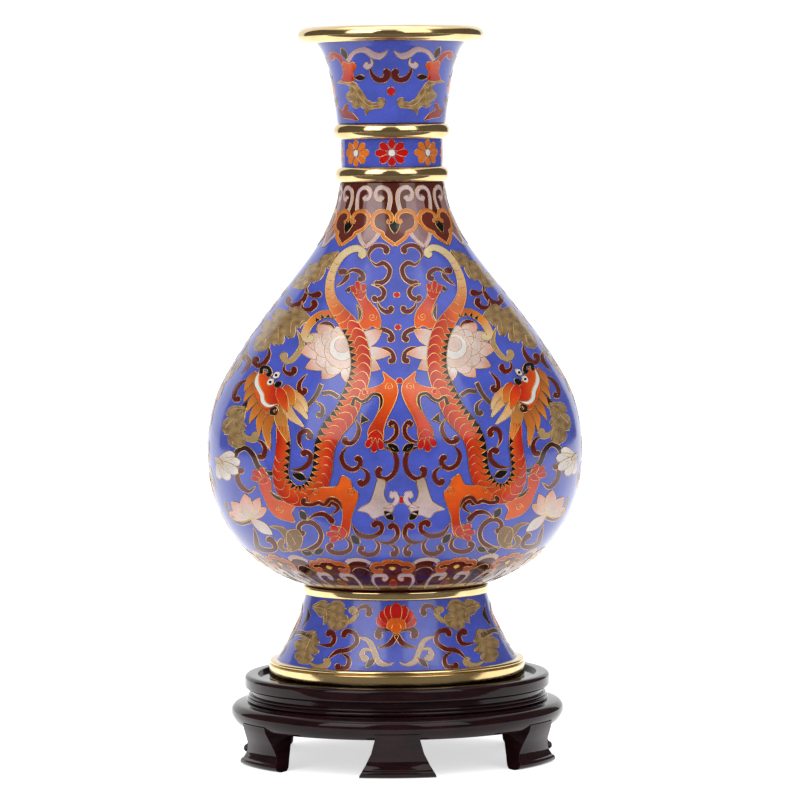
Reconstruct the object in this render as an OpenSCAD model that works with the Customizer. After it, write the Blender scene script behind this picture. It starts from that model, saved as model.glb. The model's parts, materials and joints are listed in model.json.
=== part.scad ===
// Cloisonne vase on its turned and carved wooden stand.
// Millimetres, +Z up. The origin is on the axis, on the surface that the stand's feet rest on.
// The vase is a copper core in brazed sections, with an enamel skin in fields outside, a plain
// counter-enamel lining inside and gilt mounts over its seams. It lifts straight out of the stand.

/* [Vase] */
// Height of the vase without its stand
vase_h = 250; // [244:1:256]
// Widest radius of the belly
belly_r = 72.2; // [70:0.1:74]
// Height of the widest point above the vase's foot
belly_z = 87; // [84:1:90]
// Outside radius of the mouth rim
mouth_r = 35.6; // [34.5:0.1:36.5]
// Outside radius of the neck at its narrow lower end
neck_r = 20.7; // [20.2:0.1:21]
// Outside radius of the collar between the two neck rings
collar_r = 19.4; // [19:0.1:19.8]
// Outside radius of the body where it meets the lower neck ring
shoulder_r = 20.1; // [19.8:0.1:20.6]
// Outside radius at the waist, where the foot begins
waist_r = 35; // [34.5:0.1:35.5]
// Outside radius of the foot where it meets the foot ring
foot_r = 46.4; // [46:0.1:47]

/* [Layers] */
// Thickness of the enamel skin
enamel_t = 0.8; // [0.6:0.1:1]
// Thickness of the copper core
copper_t = 1; // [0.9:0.1:1.2]
// Thickness of the counter-enamel lining
lining_t = 0.3; // [0.2:0.05:0.4]

/* [Gilt mounts] */
// Height of the mouth rim
rim_h = 6.5; // [6:0.1:7]
// Radial width of the mouth rim
rim_w = 11.2; // [10.5:0.1:12]
// Height of each neck ring
neck_ring_h = 6.2; // [5.8:0.1:6.4]
// Outside radius of the upper neck ring
upper_ring_r = 22.2; // [22:0.1:22.8]
// Outside radius of the lower neck ring
lower_ring_r = 21.7; // [21.4:0.1:22.2]
// Height of the waist ring
waist_ring_h = 3.5; // [3.2:0.1:3.8]
// Outside radius of the waist ring
waist_ring_r = 35.9; // [35.7:0.1:36.4]
// Height of the foot ring
foot_ring_h = 7.2; // [7:0.1:7.6]
// Outside radius of the foot ring
foot_ring_r = 49.3; // [49:0.1:49.6]

/* [Stand] */
// Outside radius of the tray
tray_r = 58.9; // [58.5:0.1:59.5]
// Radius of the recess inside the tray's lip
recess_r = 53.7; // [53:0.1:54.2]
// Depth of the recess
recess_d = 1.5; // [1.2:0.1:2]
// Height of the tray's top above the floor
tray_z = 33; // [32.8:0.1:33.4]
// Height of the tray
tray_h = 5.5; // [5.3:0.1:5.7]
// Widest radius of the apron
apron_r = 64.3; // [64:0.1:64.8]
// Height of the apron's top above the floor
apron_z = 22.6; // [22.4:0.1:22.8]
// Height of the apron's lower edge, which is the top of the legs
leg_h = 14.4; // [14:0.1:14.8]
// Width of a leg under the apron
leg_top_w = 18; // [16:0.5:20]
// Width of a leg at its foot
leg_foot_w = 28; // [24:0.5:30]

/* [Hidden] */
$fn = 128;

leg_count = 6;
seat_z = tray_z - recess_d;      // the vase stands here
reach = 200;                     // further out than anything on the part

// Heights above the vase's foot
rim_seat_z = vase_h - rim_h + 0.4;
upper_ring_z = vase_h - 40;
lower_ring_z = vase_h - 56.6;
neck_z0 = upper_ring_z + neck_ring_h / 2;
collar_z1 = upper_ring_z - neck_ring_h / 2;
collar_z0 = lower_ring_z + neck_ring_h / 2;
shoulder_z1 = lower_ring_z - neck_ring_h / 2;
ruyi_z = shoulder_z1 - 22.4;     // the collar of ruyi heads ends here
waist_z1 = foot_ring_h + 28.7;
waist_z = waist_z1 - waist_ring_h / 2;
waist_z0 = waist_z1 - waist_ring_h;
lappet_z = waist_z1 + 10.7;      // the band of cloud heads ends here

// Depths below the enamel's face
copper_d = enamel_t;
lining_d = enamel_t + copper_t;
inside_d = lining_d + lining_t;

tenon_h = 1.4;                   // how far the neck's edge stands in the mouth rim
neck_tenon_r = mouth_r - 8.4;    // outside radius of that edge
waist_tenon_r = waist_r - 1.4;   // outside radius of the two tenons in the waist ring
foot_tenon_r = foot_r - 1.3;     // outside radius of the tenon in the foot ring
plate_z = foot_ring_h - 3.2;     // underside of the base plate
plate_t = 1.2;
dowel_r = 2.5;
dowel_at_r = 57.5;
dowel_depth = 6;                 // into the leg and into the apron

ledge_r = 48;                    // the panel rests on this ledge inside the tray
panel_r = 50;
panel_edge_t = 2.5;
tray_z0 = tray_z - tray_h;
waist_in_r = 46;                 // inside radius of the stand's waist
waist_bead_r = 58.2;             // outside radius of the bead under the tray's waist
waist_fillet_r = 57.5;           // outside radius of the smaller bead above it
waist_wall_r = 56.2;             // outside radius of the plain part above both
apron_in_r = 50;
leg_in_r = [54.5, 52];           // inside radius of a leg at its foot and at its top

// ---- curves ----

// Unit direction of the curve through the knots K at knot i
function direction(K, i) =
    let (a = K[max(i - 1, 0)], b = K[min(i + 1, len(K) - 1)])
    (b - a) / (norm(b - K[i]) + norm(K[i] - a));

// Point at share t between knots a and b, leaving a along da and reaching b along db
function between(a, b, da, db, t) =
    let (c = norm(b - a), u = t * t * (3 - 2 * t))
    a + (b - a) * u + c * (da * t * (1 - t) * (1 - t) - db * t * t * (1 - t));

// A smooth curve through the knots K
function curve(K, steps = 5) =
    concat([K[0]], [for (i = [0 : len(K) - 2]) for (s = [1 : steps])
        between(K[i], K[i + 1], direction(K, i), direction(K, i + 1), s / steps)]);

// The path P, made longer by a straight length d at both ends
function lengthened(P, d) =
    let (n = len(P) - 1)
    concat([P[0] - d * (P[1] - P[0]) / norm(P[1] - P[0])], P,
           [P[n] + d * (P[n] - P[n - 1]) / norm(P[n] - P[n - 1])]);

// The upward path P moved inwards, square to itself, by d
function inset(P, d) = [for (i = [0 : len(P) - 1])
    let (t = P[min(i + 1, len(P) - 1)] - P[max(i - 1, 0)])
    P[i] - d * [t[1], -t[0]] / norm(t)];

function backwards(P) = [for (i = [len(P) - 1 : -1 : 0]) P[i]];

// Arc about [cx, cz] from angle a0 to angle a1
function arc(cx, cz, r, a0, a1, steps = 8) =
    [for (s = [0 : steps]) let (a = a0 + (a1 - a0) * s / steps) [cx + r * cos(a), cz + r * sin(a)]];

// A flattened roll of half width a and half height b about [cx, cz]
function roll(cx, cz, a, b, fullness = 2.3, steps = 64) =
    [for (s = [0 : steps - 1]) let (q = 360 * s / steps, c = cos(q), d = sin(q))
        [cx + a * sign(c) * pow(abs(c), 2 / fullness), cz + b * sign(d) * pow(abs(d), 2 / fullness)]];

// Knots given as shares of the way from one corner [r, z] to another
function placed(shares, low, high) = [for (s = shares)
    [low[0] + s[0] * (high[0] - low[0]), low[1] + s[1] * (high[1] - low[1])]];

// ---- outlines of the enamel's face, from low to high ----

neck_path = lengthened(curve(placed(
    [[0, 0], [0.10, 0.22], [0.22, 0.44], [0.35, 0.62], [0.52, 0.77], [0.76, 0.91], [1, 1]],
    [neck_r, neck_z0], [mouth_r - 7.3, rim_seat_z])), 5);

collar_path = [[collar_r, lower_ring_z], [collar_r, upper_ring_z]];

lower_body_knots = placed(
    [[0, 0], [0.27, 0.085], [0.47, 0.175], [0.61, 0.265], [0.795, 0.44], [0.912, 0.62], [0.974, 0.8],
     [1, 1]],
    [waist_r, waist_z1], [belly_r, belly_z]);
upper_body_knots = placed(
    [[0, 0], [0.017, 0.107], [0.075, 0.214], [0.215, 0.348], [0.399, 0.483], [0.603, 0.616],
     [0.806, 0.75], [0.91, 0.839], [0.976, 0.925], [1, 1]],
    [belly_r, belly_z], [shoulder_r, shoulder_z1]);
body_path = lengthened(curve(concat(lower_body_knots, [for (i = [1 : len(upper_body_knots) - 1])
    upper_body_knots[i]])), 5);

foot_path = lengthened(curve(placed(
    [[0, 0], [0.15, 0.10], [0.40, 0.29], [0.61, 0.475], [0.80, 0.66], [0.90, 0.84], [1, 1]],
    [foot_r, foot_ring_h], [waist_r, waist_z0])), 5);

// ---- helpers ----

// A revolved layer from depth d0 to depth d1 below the path P, between heights z0 and z1
module layer(P, d0, d1, z0, z1)
    rotate_extrude()
        intersection() {
            polygon(concat(inset(P, d0), backwards(inset(P, d1))));
            translate([0, z0]) square([reach, z1 - z0]);
        }

// A plain tube between heights z0 and z1
module tube(r_out, r_in, z0, z1)
    rotate_extrude()
        translate([r_in, z0]) square([r_out - r_in, z1 - z0]);

module on_stand() translate([0, 0, seat_z]) children();

// A roll-shaped ring of outside radius r, bored for the shell above its middle and the one below
module neck_ring(r, z, bore_above, bore_below)
    difference() {
        rotate_extrude() polygon(roll(r - 3, z, 3, neck_ring_h / 2));
        translate([0, 0, z]) cylinder(r = bore_above, h = neck_ring_h);
        translate([0, 0, z - neck_ring_h]) cylinder(r = bore_below, h = neck_ring_h);
    }

// ---- vase: gilt mounts ----

module mouth_rim()
    color("goldenrod") on_stand()
        difference() {
            rotate_extrude()
                intersection() {
                    polygon(roll(mouth_r - rim_w / 2, vase_h - rim_h / 2, rim_w / 2, rim_h / 2));
                    translate([0, rim_seat_z]) square([reach, rim_h]);
                }
            tube(neck_tenon_r, neck_tenon_r - copper_t, rim_seat_z - 1, rim_seat_z + tenon_h);
        }

module neck_ring_upper()
    color("goldenrod") on_stand()
        neck_ring(upper_ring_r, upper_ring_z, neck_r - copper_d, collar_r - copper_d);

module neck_ring_lower()
    color("goldenrod") on_stand()
        neck_ring(lower_ring_r, lower_ring_z, collar_r - copper_d, shoulder_r - copper_d);

module waist_ring()
    color("goldenrod") on_stand()
        rotate_extrude()
            intersection() {
                polygon(roll(waist_ring_r - 2.5, waist_z, 2.5, waist_ring_h / 2, 5));
                translate([waist_tenon_r, 0]) square([reach, reach]);
            }

module foot_ring()
    color("goldenrod") on_stand()
        rotate_extrude()
            polygon(concat(
                [[foot_tenon_r, 0]],
                arc(foot_ring_r - 0.6, 0.6, 0.6, -90, 0),
                arc(foot_ring_r - 0.3, foot_ring_h - 2.1, 0.3, 0, 90),
                arc(foot_ring_r - 1.1, foot_ring_h - 0.9, 0.9, -70, 90),
                [[foot_tenon_r, foot_ring_h]]));

// ---- vase: copper core ----

module neck_shell()
    color("peru") on_stand() {
        layer(neck_path, copper_d, lining_d, neck_z0, rim_seat_z);
        tube(neck_tenon_r, neck_tenon_r - copper_t, rim_seat_z, rim_seat_z + tenon_h);
        tube(neck_r - copper_d, neck_r - lining_d, upper_ring_z, neck_z0);
    }

module collar_shell()
    color("peru") on_stand()
        tube(collar_r - copper_d, collar_r - lining_d, lower_ring_z, upper_ring_z);

module upper_body_shell()
    color("peru") on_stand() {
        layer(body_path, copper_d, lining_d, belly_z, shoulder_z1);
        tube(shoulder_r - copper_d, shoulder_r - lining_d, shoulder_z1, lower_ring_z);
    }

module lower_body_shell()
    color("peru") on_stand() {
        layer(body_path, copper_d, lining_d, waist_z1, belly_z);
        tube(waist_tenon_r, waist_tenon_r - copper_t, waist_z, waist_z1);
    }

module foot_shell()
    color("peru") on_stand() {
        layer(foot_path, copper_d, lining_d, foot_ring_h, waist_z0);
        tube(waist_tenon_r, waist_tenon_r - copper_t, waist_z0, waist_z);
        tube(foot_tenon_r, foot_tenon_r - copper_t, plate_z + plate_t, foot_ring_h);
    }

module base_plate()
    color("peru") on_stand()
        translate([0, 0, plate_z]) cylinder(r = foot_tenon_r, h = plate_t);

// ---- vase: enamel fields ----

module neck_enamel()
    color("royalblue") on_stand() layer(neck_path, 0, copper_d, neck_z0, rim_seat_z);

module collar_enamel()
    color("royalblue") on_stand() layer(collar_path, 0, copper_d, collar_z0, collar_z1);

module shoulder_enamel()
    color("saddlebrown") on_stand() layer(body_path, 0, copper_d, ruyi_z, shoulder_z1);

module belly_enamel()
    color("royalblue") on_stand() layer(body_path, 0, copper_d, lappet_z, ruyi_z);

module lappet_enamel()
    color("maroon") on_stand() layer(body_path, 0, copper_d, waist_z1, lappet_z);

module foot_enamel()
    color("royalblue") on_stand() layer(foot_path, 0, copper_d, foot_ring_h, waist_z0);

module base_enamel()
    color("darkturquoise") on_stand()
        translate([0, 0, plate_z - lining_t]) cylinder(r = foot_tenon_r, h = lining_t);

// ---- vase: counter-enamel inside ----

module neck_lining()
    color("darkturquoise") on_stand() layer(neck_path, lining_d, inside_d, neck_z0, rim_seat_z);

module body_lining()
    color("darkturquoise") on_stand() layer(body_path, lining_d, inside_d, waist_z1, shoulder_z1);

module foot_lining()
    color("darkturquoise") on_stand() layer(foot_path, lining_d, inside_d, foot_ring_h, waist_z0);

// ---- stand ----

module stand_tray()
    color("#2a1714")
        rotate_extrude()
            polygon(concat(
                [[ledge_r, tray_z0]],
                arc(tray_r - 1.4, tray_z0 + 1.4, 1.4, -90, 0),
                arc(tray_r - 1.6, tray_z - 1.6, 1.6, 0, 90),
                arc(recess_r + 0.5, tray_z - 0.5, 0.5, 90, 180),
                [[recess_r, seat_z], [panel_r, seat_z], [panel_r, seat_z - panel_edge_t],
                 [ledge_r, seat_z - panel_edge_t]]));

module stand_panel()
    color("#2a1714") {
        translate([0, 0, seat_z - panel_edge_t]) cylinder(r = panel_r, h = panel_edge_t);
        translate([0, 0, tray_z0]) cylinder(r = ledge_r, h = seat_z - panel_edge_t - tray_z0);
    }

module stand_waist()
    color("#2a1714")
        rotate_extrude()
            polygon(concat(
                [[waist_in_r, apron_z], [waist_bead_r - 1.6, apron_z]],
                arc(waist_bead_r - 0.8, apron_z + 0.9, 0.8, -70, 90),
                arc(waist_fillet_r - 0.6, apron_z + 2.3, 0.6, -80, 90),
                [[waist_wall_r, apron_z + 3.1], [waist_wall_r, tray_z0], [waist_in_r, tray_z0]]));

module stand_apron()
    color("#2a1714")
        difference() {
            rotate_extrude()
                polygon(concat(
                    [[apron_in_r, leg_h], [apron_r - 2, leg_h]],
                    curve([[apron_r - 1.5, leg_h + 0.4], [apron_r - 0.8, leg_h + 1.9],
                           [apron_r, leg_h + 4.3], [apron_r - 0.6, leg_h + 6.3],
                           [apron_r - 2.4, leg_h + 7.7], [apron_r - 5, apron_z]]),
                    [[apron_in_r, apron_z]]));
            dowels();
        }

// Section of a leg: a carved cyma outside, with a toe that turns out, and a plain slope inside
leg_section = concat(
    [[leg_in_r[0], 0]],
    curve([[apron_r - 1.8, 0], [apron_r - 0.7, 0.7], [apron_r - 0.8, 1.6], [apron_r - 1.9, 3.2],
           [apron_r - 2.5, 5.2], [apron_r - 2.6, 7.4], [apron_r - 2.3, 10], [apron_r - 1.8, leg_h]]),
    [[leg_in_r[1], leg_h]]);

// One side of a leg as seen from outside, from the floor up, as distances from its middle line
leg_side = curve([[leg_foot_w / 2, 0], [leg_foot_w / 2 - 0.1, 1.15], [leg_foot_w / 2 - 1.6, 4.7],
                  [leg_top_w / 2 + 0.9, 9.1], [leg_top_w / 2, leg_h]]);
leg_outline = concat(leg_side, [for (p = backwards(leg_side)) [-p[0], p[1]]]);

module dowels()
    for (k = [0 : leg_count - 1])
        rotate([0, 0, k * 360 / leg_count - 90])
            translate([dowel_at_r, 0, leg_h - dowel_depth]) cylinder(r = dowel_r, h = 2 * dowel_depth);

// Leg number k, counted anticlockwise from the front
module leg(k)
    color("#2a1714")
        difference() {
            rotate([0, 0, k * 360 / leg_count - 90])
                intersection() {
                    rotate([0, 0, -30]) rotate_extrude(angle = 60) polygon(leg_section);
                    rotate([90, 0, 90]) linear_extrude(height = reach) polygon(leg_outline);
                }
            dowels();
        }

module leg_dowels() color("burlywood") dowels();

stand_tray();
stand_panel();
stand_waist();
stand_apron();
leg(0);  // stand_leg_1
leg(1);  // stand_leg_2
leg(2);  // stand_leg_3
leg(3);  // stand_leg_4
leg(4);  // stand_leg_5
leg(5);  // stand_leg_6
leg_dowels();
mouth_rim();
neck_shell();
neck_ring_upper();
collar_shell();
neck_ring_lower();
upper_body_shell();
lower_body_shell();
waist_ring();
foot_shell();
foot_ring();
base_plate();
neck_enamel();
collar_enamel();
shoulder_enamel();
belly_enamel();
lappet_enamel();
foot_enamel();
base_enamel();
neck_lining();
body_lining();
foot_lining();
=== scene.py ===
"""The looks of the cloisonne vase and its stand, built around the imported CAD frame."""
import json
import math

import bpy
import numpy as np
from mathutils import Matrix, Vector
from mathutils.geometry import delaunay_2d_cdt


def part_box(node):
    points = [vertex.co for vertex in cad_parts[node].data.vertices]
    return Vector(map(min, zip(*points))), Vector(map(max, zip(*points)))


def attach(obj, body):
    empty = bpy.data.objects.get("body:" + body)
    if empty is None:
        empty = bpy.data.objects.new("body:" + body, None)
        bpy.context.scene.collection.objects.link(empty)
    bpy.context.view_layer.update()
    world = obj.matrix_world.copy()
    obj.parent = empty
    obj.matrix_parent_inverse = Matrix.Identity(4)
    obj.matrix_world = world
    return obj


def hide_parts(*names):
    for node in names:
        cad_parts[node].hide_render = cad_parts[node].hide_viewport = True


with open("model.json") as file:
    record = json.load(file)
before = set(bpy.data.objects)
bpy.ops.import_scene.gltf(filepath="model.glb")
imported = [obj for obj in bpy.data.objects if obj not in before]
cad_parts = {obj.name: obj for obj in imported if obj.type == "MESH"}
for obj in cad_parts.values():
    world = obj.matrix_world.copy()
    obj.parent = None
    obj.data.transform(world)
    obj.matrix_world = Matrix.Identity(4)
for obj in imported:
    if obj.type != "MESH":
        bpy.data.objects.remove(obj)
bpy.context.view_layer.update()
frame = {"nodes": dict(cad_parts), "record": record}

MM = 0.001                       # drawings are in millimetres, meshes in metres
TAU = 2 * math.pi
FOOT_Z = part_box("foot_ring")[0].z / MM      # height of the vase's foot above the floor, in mm


# ---------------------------------------------------------------- turned shapes

def section(node):
    """The section of a revolved CAD node: an anticlockwise closed outline of (radius, height), in mm."""
    mesh = frame["nodes"][node].data
    exact = {}
    keys = []
    for v in mesh.vertices:
        r, z = math.hypot(v.co.x, v.co.y) / MM, v.co.z / MM
        keys.append((round(r, 2), round(z, 2)))
        exact.setdefault(keys[-1], (r, z))
    joined = {}
    for edge in mesh.edges:
        a, b = (keys[i] for i in edge.vertices)
        if a != b:
            joined.setdefault(a, set()).add(b)
            joined.setdefault(b, set()).add(a)
    ends = sorted(k for k in joined if len(joined[k]) == 1)
    chain = [ends[0] if ends else min(joined)]
    while True:
        onward = [k for k in sorted(joined[chain[-1]]) if k not in chain]
        if not onward:
            break
        chain.append(onward[0])
    points = [exact[k] for k in chain]
    if ends:                     # a disc, whose section reaches the axis
        points = [(0.0, points[0][1])] + points + [(0.0, points[-1][1])]
    area = sum(a[0] * b[1] - b[0] * a[1] for a, b in zip(points, points[1:] + points[:1]))
    return points if area > 0 else points[::-1]


def outer_path(node):
    """The outer side of that section, from low to high."""
    points = section(node)
    low, high = min(p[1] for p in points), max(p[1] for p in points)
    first = max((p[0], i) for i, p in enumerate(points) if abs(p[1] - low) < 0.02)[1]
    points = points[first:] + points[:first]
    last = max((p[0], i) for i, p in enumerate(points) if abs(p[1] - high) < 0.02)[1]
    return points[:last + 1]


def smooth(points, step=0.8, closed=False):
    """A smooth curve through the points, sampled about every step, measured on the first two values."""
    K = np.array(points, float)
    n = len(K)
    spans = n if closed else n - 1
    out = []
    for i in range(spans):
        a, b = K[i], K[(i + 1) % n]
        before = K[i - 1] if closed or i else a
        after = K[(i + 2) % n] if closed or i + 2 < n else b
        length = max(math.dist(a[:2], b[:2]), 1e-6)
        da = (b - before) * length / max(math.dist(a[:2], before[:2]) + length, 1e-6)
        db = (after - a) * length / max(math.dist(after[:2], b[:2]) + length, 1e-6)
        pieces = max(1, int(math.ceil(length / step)))
        for k in range(pieces):
            t = k / pieces
            out.append(a + (b - a) * (3 * t * t - 2 * t ** 3) + da * t * (1 - t) ** 2 - db * t * t * (1 - t))
    if not closed:
        out.append(K[-1])
    return np.array(out)


def new_object(name, verts, faces, material, tints=None, crease=None):
    """A mesh object from vertices in metres; crease is the angle above which an edge stays sharp."""
    mesh = bpy.data.meshes.new(name)
    mesh.from_pydata(verts, [], faces)
    mesh.update()
    if tints is not None:
        layer = mesh.color_attributes.new("tint", "FLOAT_COLOR", "POINT")
        rgba = np.ones((len(mesh.vertices), 4), np.float32)
        rgba[:, :3] = tints
        layer.data.foreach_set("color", rgba.ravel())
    mesh.shade_smooth()
    if crease is not None:
        mesh.set_sharp_from_angle(angle=math.radians(crease))
    mesh.materials.append(material)
    obj = bpy.data.objects.new(name, mesh)
    bpy.context.scene.collection.objects.link(obj)
    return obj


def revolved(name, points, material, body, replaces, steps=320, tint=None):
    """A turned piece: the outline, in mm, carried round the axis."""
    ring = [(math.sin(TAU * k / steps), -math.cos(TAU * k / steps)) for k in range(steps)]
    verts, index = [], []
    for r, z in points:
        if r < 1e-4:
            index.append([len(verts)] * steps)
            verts.append((0, 0, z * MM))
        else:
            index.append(list(range(len(verts), len(verts) + steps)))
            verts += [(r * MM * x, r * MM * y, z * MM) for x, y in ring]
    faces = []
    for a, b in zip(index, index[1:] + index[:1]):
        for k in range(steps):
            q = (k + 1) % steps
            corner = [a[k], a[q], b[q], b[k]]
            corner = [c for i, c in enumerate(corner) if c not in corner[:i]]
            if len(corner) > 2:
                faces.append(corner)
    tints = None if tint is None else np.tile(np.array(tint, np.float32), (len(verts), 1))
    obj = new_object(name, verts, faces, material, tints, crease=32)
    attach(obj, body)
    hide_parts(replaces)


# ---------------------------------------------------------------- materials

def rgb(r, g, b):
    """A colour on the screen's 0 to 255 scale as scene-linear values."""
    def linear(c):
        c /= 255
        return c / 12.92 if c <= 0.04045 else ((c + 0.055) / 1.055) ** 2.4
    return (linear(r), linear(g), linear(b))


class Shader:
    """A node material under construction."""

    def __init__(self, name):
        self.material = bpy.data.materials.new(name)
        self.material.use_nodes = True
        self.tree = self.material.node_tree
        self.surface = self.tree.nodes["Principled BSDF"]
        self.where = self.tree.nodes.new("ShaderNodeTexCoord").outputs["Object"]

    def put(self, **sockets):
        """Sets or links sockets of the principled shader; underscores stand for spaces."""
        for name, value in sockets.items():
            socket = self.surface.inputs[name.replace("_", " ")]
            if isinstance(value, bpy.types.NodeSocket):
                self.tree.links.new(value, socket)
            elif isinstance(value, tuple):
                socket.default_value = (*value, 1)
            else:
                socket.default_value = value

    def node(self, kind, output=0, settings=None, **inputs):
        made = self.tree.nodes.new("ShaderNode" + kind)
        for key, value in (settings or {}).items():
            setattr(made, key, value)
        for name, value in inputs.items():
            socket = made.inputs[int(name[1:]) if name[1:].isdigit() else name.replace("_", " ")]
            if isinstance(value, bpy.types.NodeSocket):
                self.tree.links.new(value, socket)
            else:
                socket.default_value = (*value, 1) if isinstance(value, tuple) and len(value) == 3 \
                    and socket.type == "RGBA" else value
        return made.outputs[output]

    def noise(self, size, detail=3, stretch=(1, 1, 1)):
        """Cloudy noise with features about size millimetres across."""
        at = self.node("Mapping", Vector=self.where, Scale=tuple(1 / (size * MM) * s for s in stretch))
        return self.node("TexNoise", Vector=at, Scale=1.0, Detail=detail, Roughness=0.55)

    def ramp(self, value, low, high, at=(0.3, 0.7)):
        """The value's range at, mapped to numbers from low to high."""
        return self.node("MapRange", Value=value, From_Min=at[0], From_Max=at[1], To_Min=low, To_Max=high)

    def blend(self, share, a, b, mode="MIX"):
        return self.node("Mix", 2, {"data_type": "RGBA", "blend_type": mode}, _0=share, _6=a, _7=b)

    def bump(self, height, depth, **more):
        """A normal from a height of 0 to 1, depth in mm."""
        return self.node("Bump", Height=height, Distance=depth * MM, **more)

    def grey(self, value):
        return self.node("CombineColor", Red=value, Green=value, Blue=value)

    def cells(self, density, feature="F1"):
        """Distance to the nearest of scattered points, this many to the metre."""
        at = self.node("Mapping", Vector=self.where, Scale=(density,) * 3)
        return self.node("TexVoronoi", 0, {"feature": feature}, Vector=at, Scale=1.0)


def enamel(name, clarity=0.1, tinted=True, colour=(0, 0, 0), uneven=0.02):
    """Ground and polished glass enamel: clouded colour, fine grain, pinholes and a clear gloss."""
    s = Shader(name)
    base = s.node("Attribute", 0, {"attribute_name": "tint"}) if tinted else \
        s.blend(s.ramp(s.noise(5), 0, 1), colour, tuple(c * 0.7 for c in colour))
    clouds = s.ramp(s.noise(9, 2), 0.42, 0.57)
    grain = s.ramp(s.noise(0.45, 2), 0.88, 1.12)
    shade = s.node("Math", 0, {"operation": "MULTIPLY"}, _0=clouds, _1=grain)
    colour_out = s.blend(1.0, base, s.grey(shade), "MULTIPLY")
    pits = s.ramp(s.cells(650), 0, 1, (0.07, 0.13))
    rarely = s.ramp(s.noise(4, 1), 1, 0, (0.52, 0.56))
    open_pits = s.node("Math", 0, {"operation": "MAXIMUM"}, _0=pits, _1=rarely)
    colour_out = s.blend(1.0, colour_out, s.grey(s.ramp(open_pits, 0.45, 1, (0, 1))), "MULTIPLY")
    s.put(Base_Color=colour_out, Roughness=s.ramp(s.noise(3), clarity, clarity + 0.08),
          Coat_Weight=0.12, Coat_Roughness=0.03, Specular_IOR_Level=0.4)
    s.put(Normal=s.bump(open_pits, 0.03, Strength=0.6, Normal=s.bump(s.noise(7, 1), uneven)))
    return s.material


def gilding(name, low, high, smooth_at, dull_at):
    """Polished gilding: warm pale gold, faint lathe lines and handling marks."""
    s = Shader(name)
    s.put(Metallic=1.0, Base_Color=s.blend(s.ramp(s.noise(14, 4), 0, 1), low, high))
    s.put(Roughness=s.ramp(s.noise(6, 5, (1, 1, 5)), smooth_at, dull_at))
    s.put(Normal=s.bump(s.noise(0.5, 2, (0.1, 0.1, 1)), 0.004))
    return s.material


def lacquer(name):
    """Near-black gloss lacquer over fine-grained wood, a little red where it is thin."""
    s = Shader(name)
    grain = s.noise(1.6, 5, (0.16, 0.16, 1))
    colour = s.blend(s.ramp(grain, 0, 1, (0.35, 0.7)), rgb(15, 6, 9), rgb(30, 11, 13))
    wear = s.ramp(s.noise(10, 4), 0, 0.5, (0.5, 0.8))
    s.put(Base_Color=s.blend(wear, colour, rgb(34, 13, 14)), Specular_IOR_Level=0.2,
          Roughness=s.ramp(s.noise(8, 4), 0.04, 0.09))
    pores = s.noise(0.7, 3, (0.12, 0.12, 1))
    s.put(Normal=s.bump(pores, 0.02, Strength=0.5, Normal=s.bump(s.noise(6, 2), 0.05)))
    return s.material


def metal_core(name):
    """Bare hammered copper, as it is under the enamel."""
    s = Shader(name)
    s.put(Metallic=1.0, Base_Color=s.blend(s.ramp(s.noise(8, 4), 0, 1), rgb(196, 112, 78), rgb(150, 78, 55)),
          Roughness=s.ramp(s.noise(2), 0.3, 0.5))
    s.put(Normal=s.bump(s.cells(300, "SMOOTH_F1"), 0.1))
    return s.material


def bare_wood(name):
    """Pale wood with its grain along the height, for the hidden dowels."""
    s = Shader(name)
    grain = s.noise(1.2, 5, (1, 1, 0.12))
    s.put(Base_Color=s.blend(s.ramp(grain, 0, 1), rgb(190, 150, 105), rgb(140, 100, 62)), Roughness=0.6,
          Normal=s.bump(grain, 0.08))
    return s.material


ENAMEL = enamel("enamel")
COUNTER_ENAMEL = enamel("counter_enamel", 0.14, False, rgb(64, 150, 178), 0.06)
GILT = gilding("gilt_brass", rgb(234, 210, 156), rgb(216, 186, 128), 0.08, 0.16)
WIRE = gilding("cloison_wire", rgb(206, 168, 108), rgb(180, 138, 84), 0.16, 0.28)
LACQUER = lacquer("lacquered_wood")
COPPER = metal_core("copper")
DOWEL = bare_wood("dowel_wood")

# ---------------------------------------------------------------- the enamel's face


class Face:
    """The outer face of enamel fields that follow on from each other: a surface of revolution. A place
    on it is an angle in radians from the front, positive to the right, and a length along it in mm."""

    def __init__(self, *nodes):
        path = []
        for node in nodes:
            path += [p for p in outer_path(node) if not path or p[1] > path[-1][1] + 0.05]
        fine = smooth(path, 0.25)
        r, z = fine[:, 0], fine[:, 1]
        self.s = np.concatenate([[0], np.cumsum(np.hypot(np.diff(r), np.diff(z)))])
        self.r, self.z = r, z
        dr, dz = np.gradient(r, self.s), np.gradient(z, self.s)
        kernel = np.ones(9) / 9
        pad = np.pad(dr, 4, mode="edge"), np.pad(dz, 4, mode="edge")
        self.nr, self.nz = np.convolve(pad[1], kernel, "valid"), -np.convolve(pad[0], kernel, "valid")

    def radius(self, s):
        return np.interp(s, self.s, self.r)

    def at(self, z):
        """The length along the face at height z above the vase's foot."""
        return np.interp(np.asarray(z, float) + FOOT_Z, self.z, self.s)

    def points(self, phi, s, lift=0.0):
        r, z = np.interp(s, self.s, self.r), np.interp(s, self.s, self.z)
        nr, nz = np.interp(s, self.s, self.nr), np.interp(s, self.s, self.nz)
        r, z = r + nr * lift, z + nz * lift
        return np.stack([r * np.sin(phi), -r * np.cos(phi), z], axis=-1) * MM


NECK = Face("neck_enamel")
COLLAR = Face("collar_enamel")
BODY = Face("lappet_enamel", "belly_enamel", "shoulder_enamel")
FOOT = Face("foot_enamel")

# ---------------------------------------------------------------- drawing on the enamel

LAYER = 0.035                    # each layer of cells lies this much higher than the last, in mm
WIRE_W = 0.3                     # width of a wire, in mm
EYE_Z, EYE_D = 208.5, 1752       # where a front elevation is seen from: height above the vase's foot, distance
CELLS_A_PIECE = 110              # a group with more cells than this is split into several pieces


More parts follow.
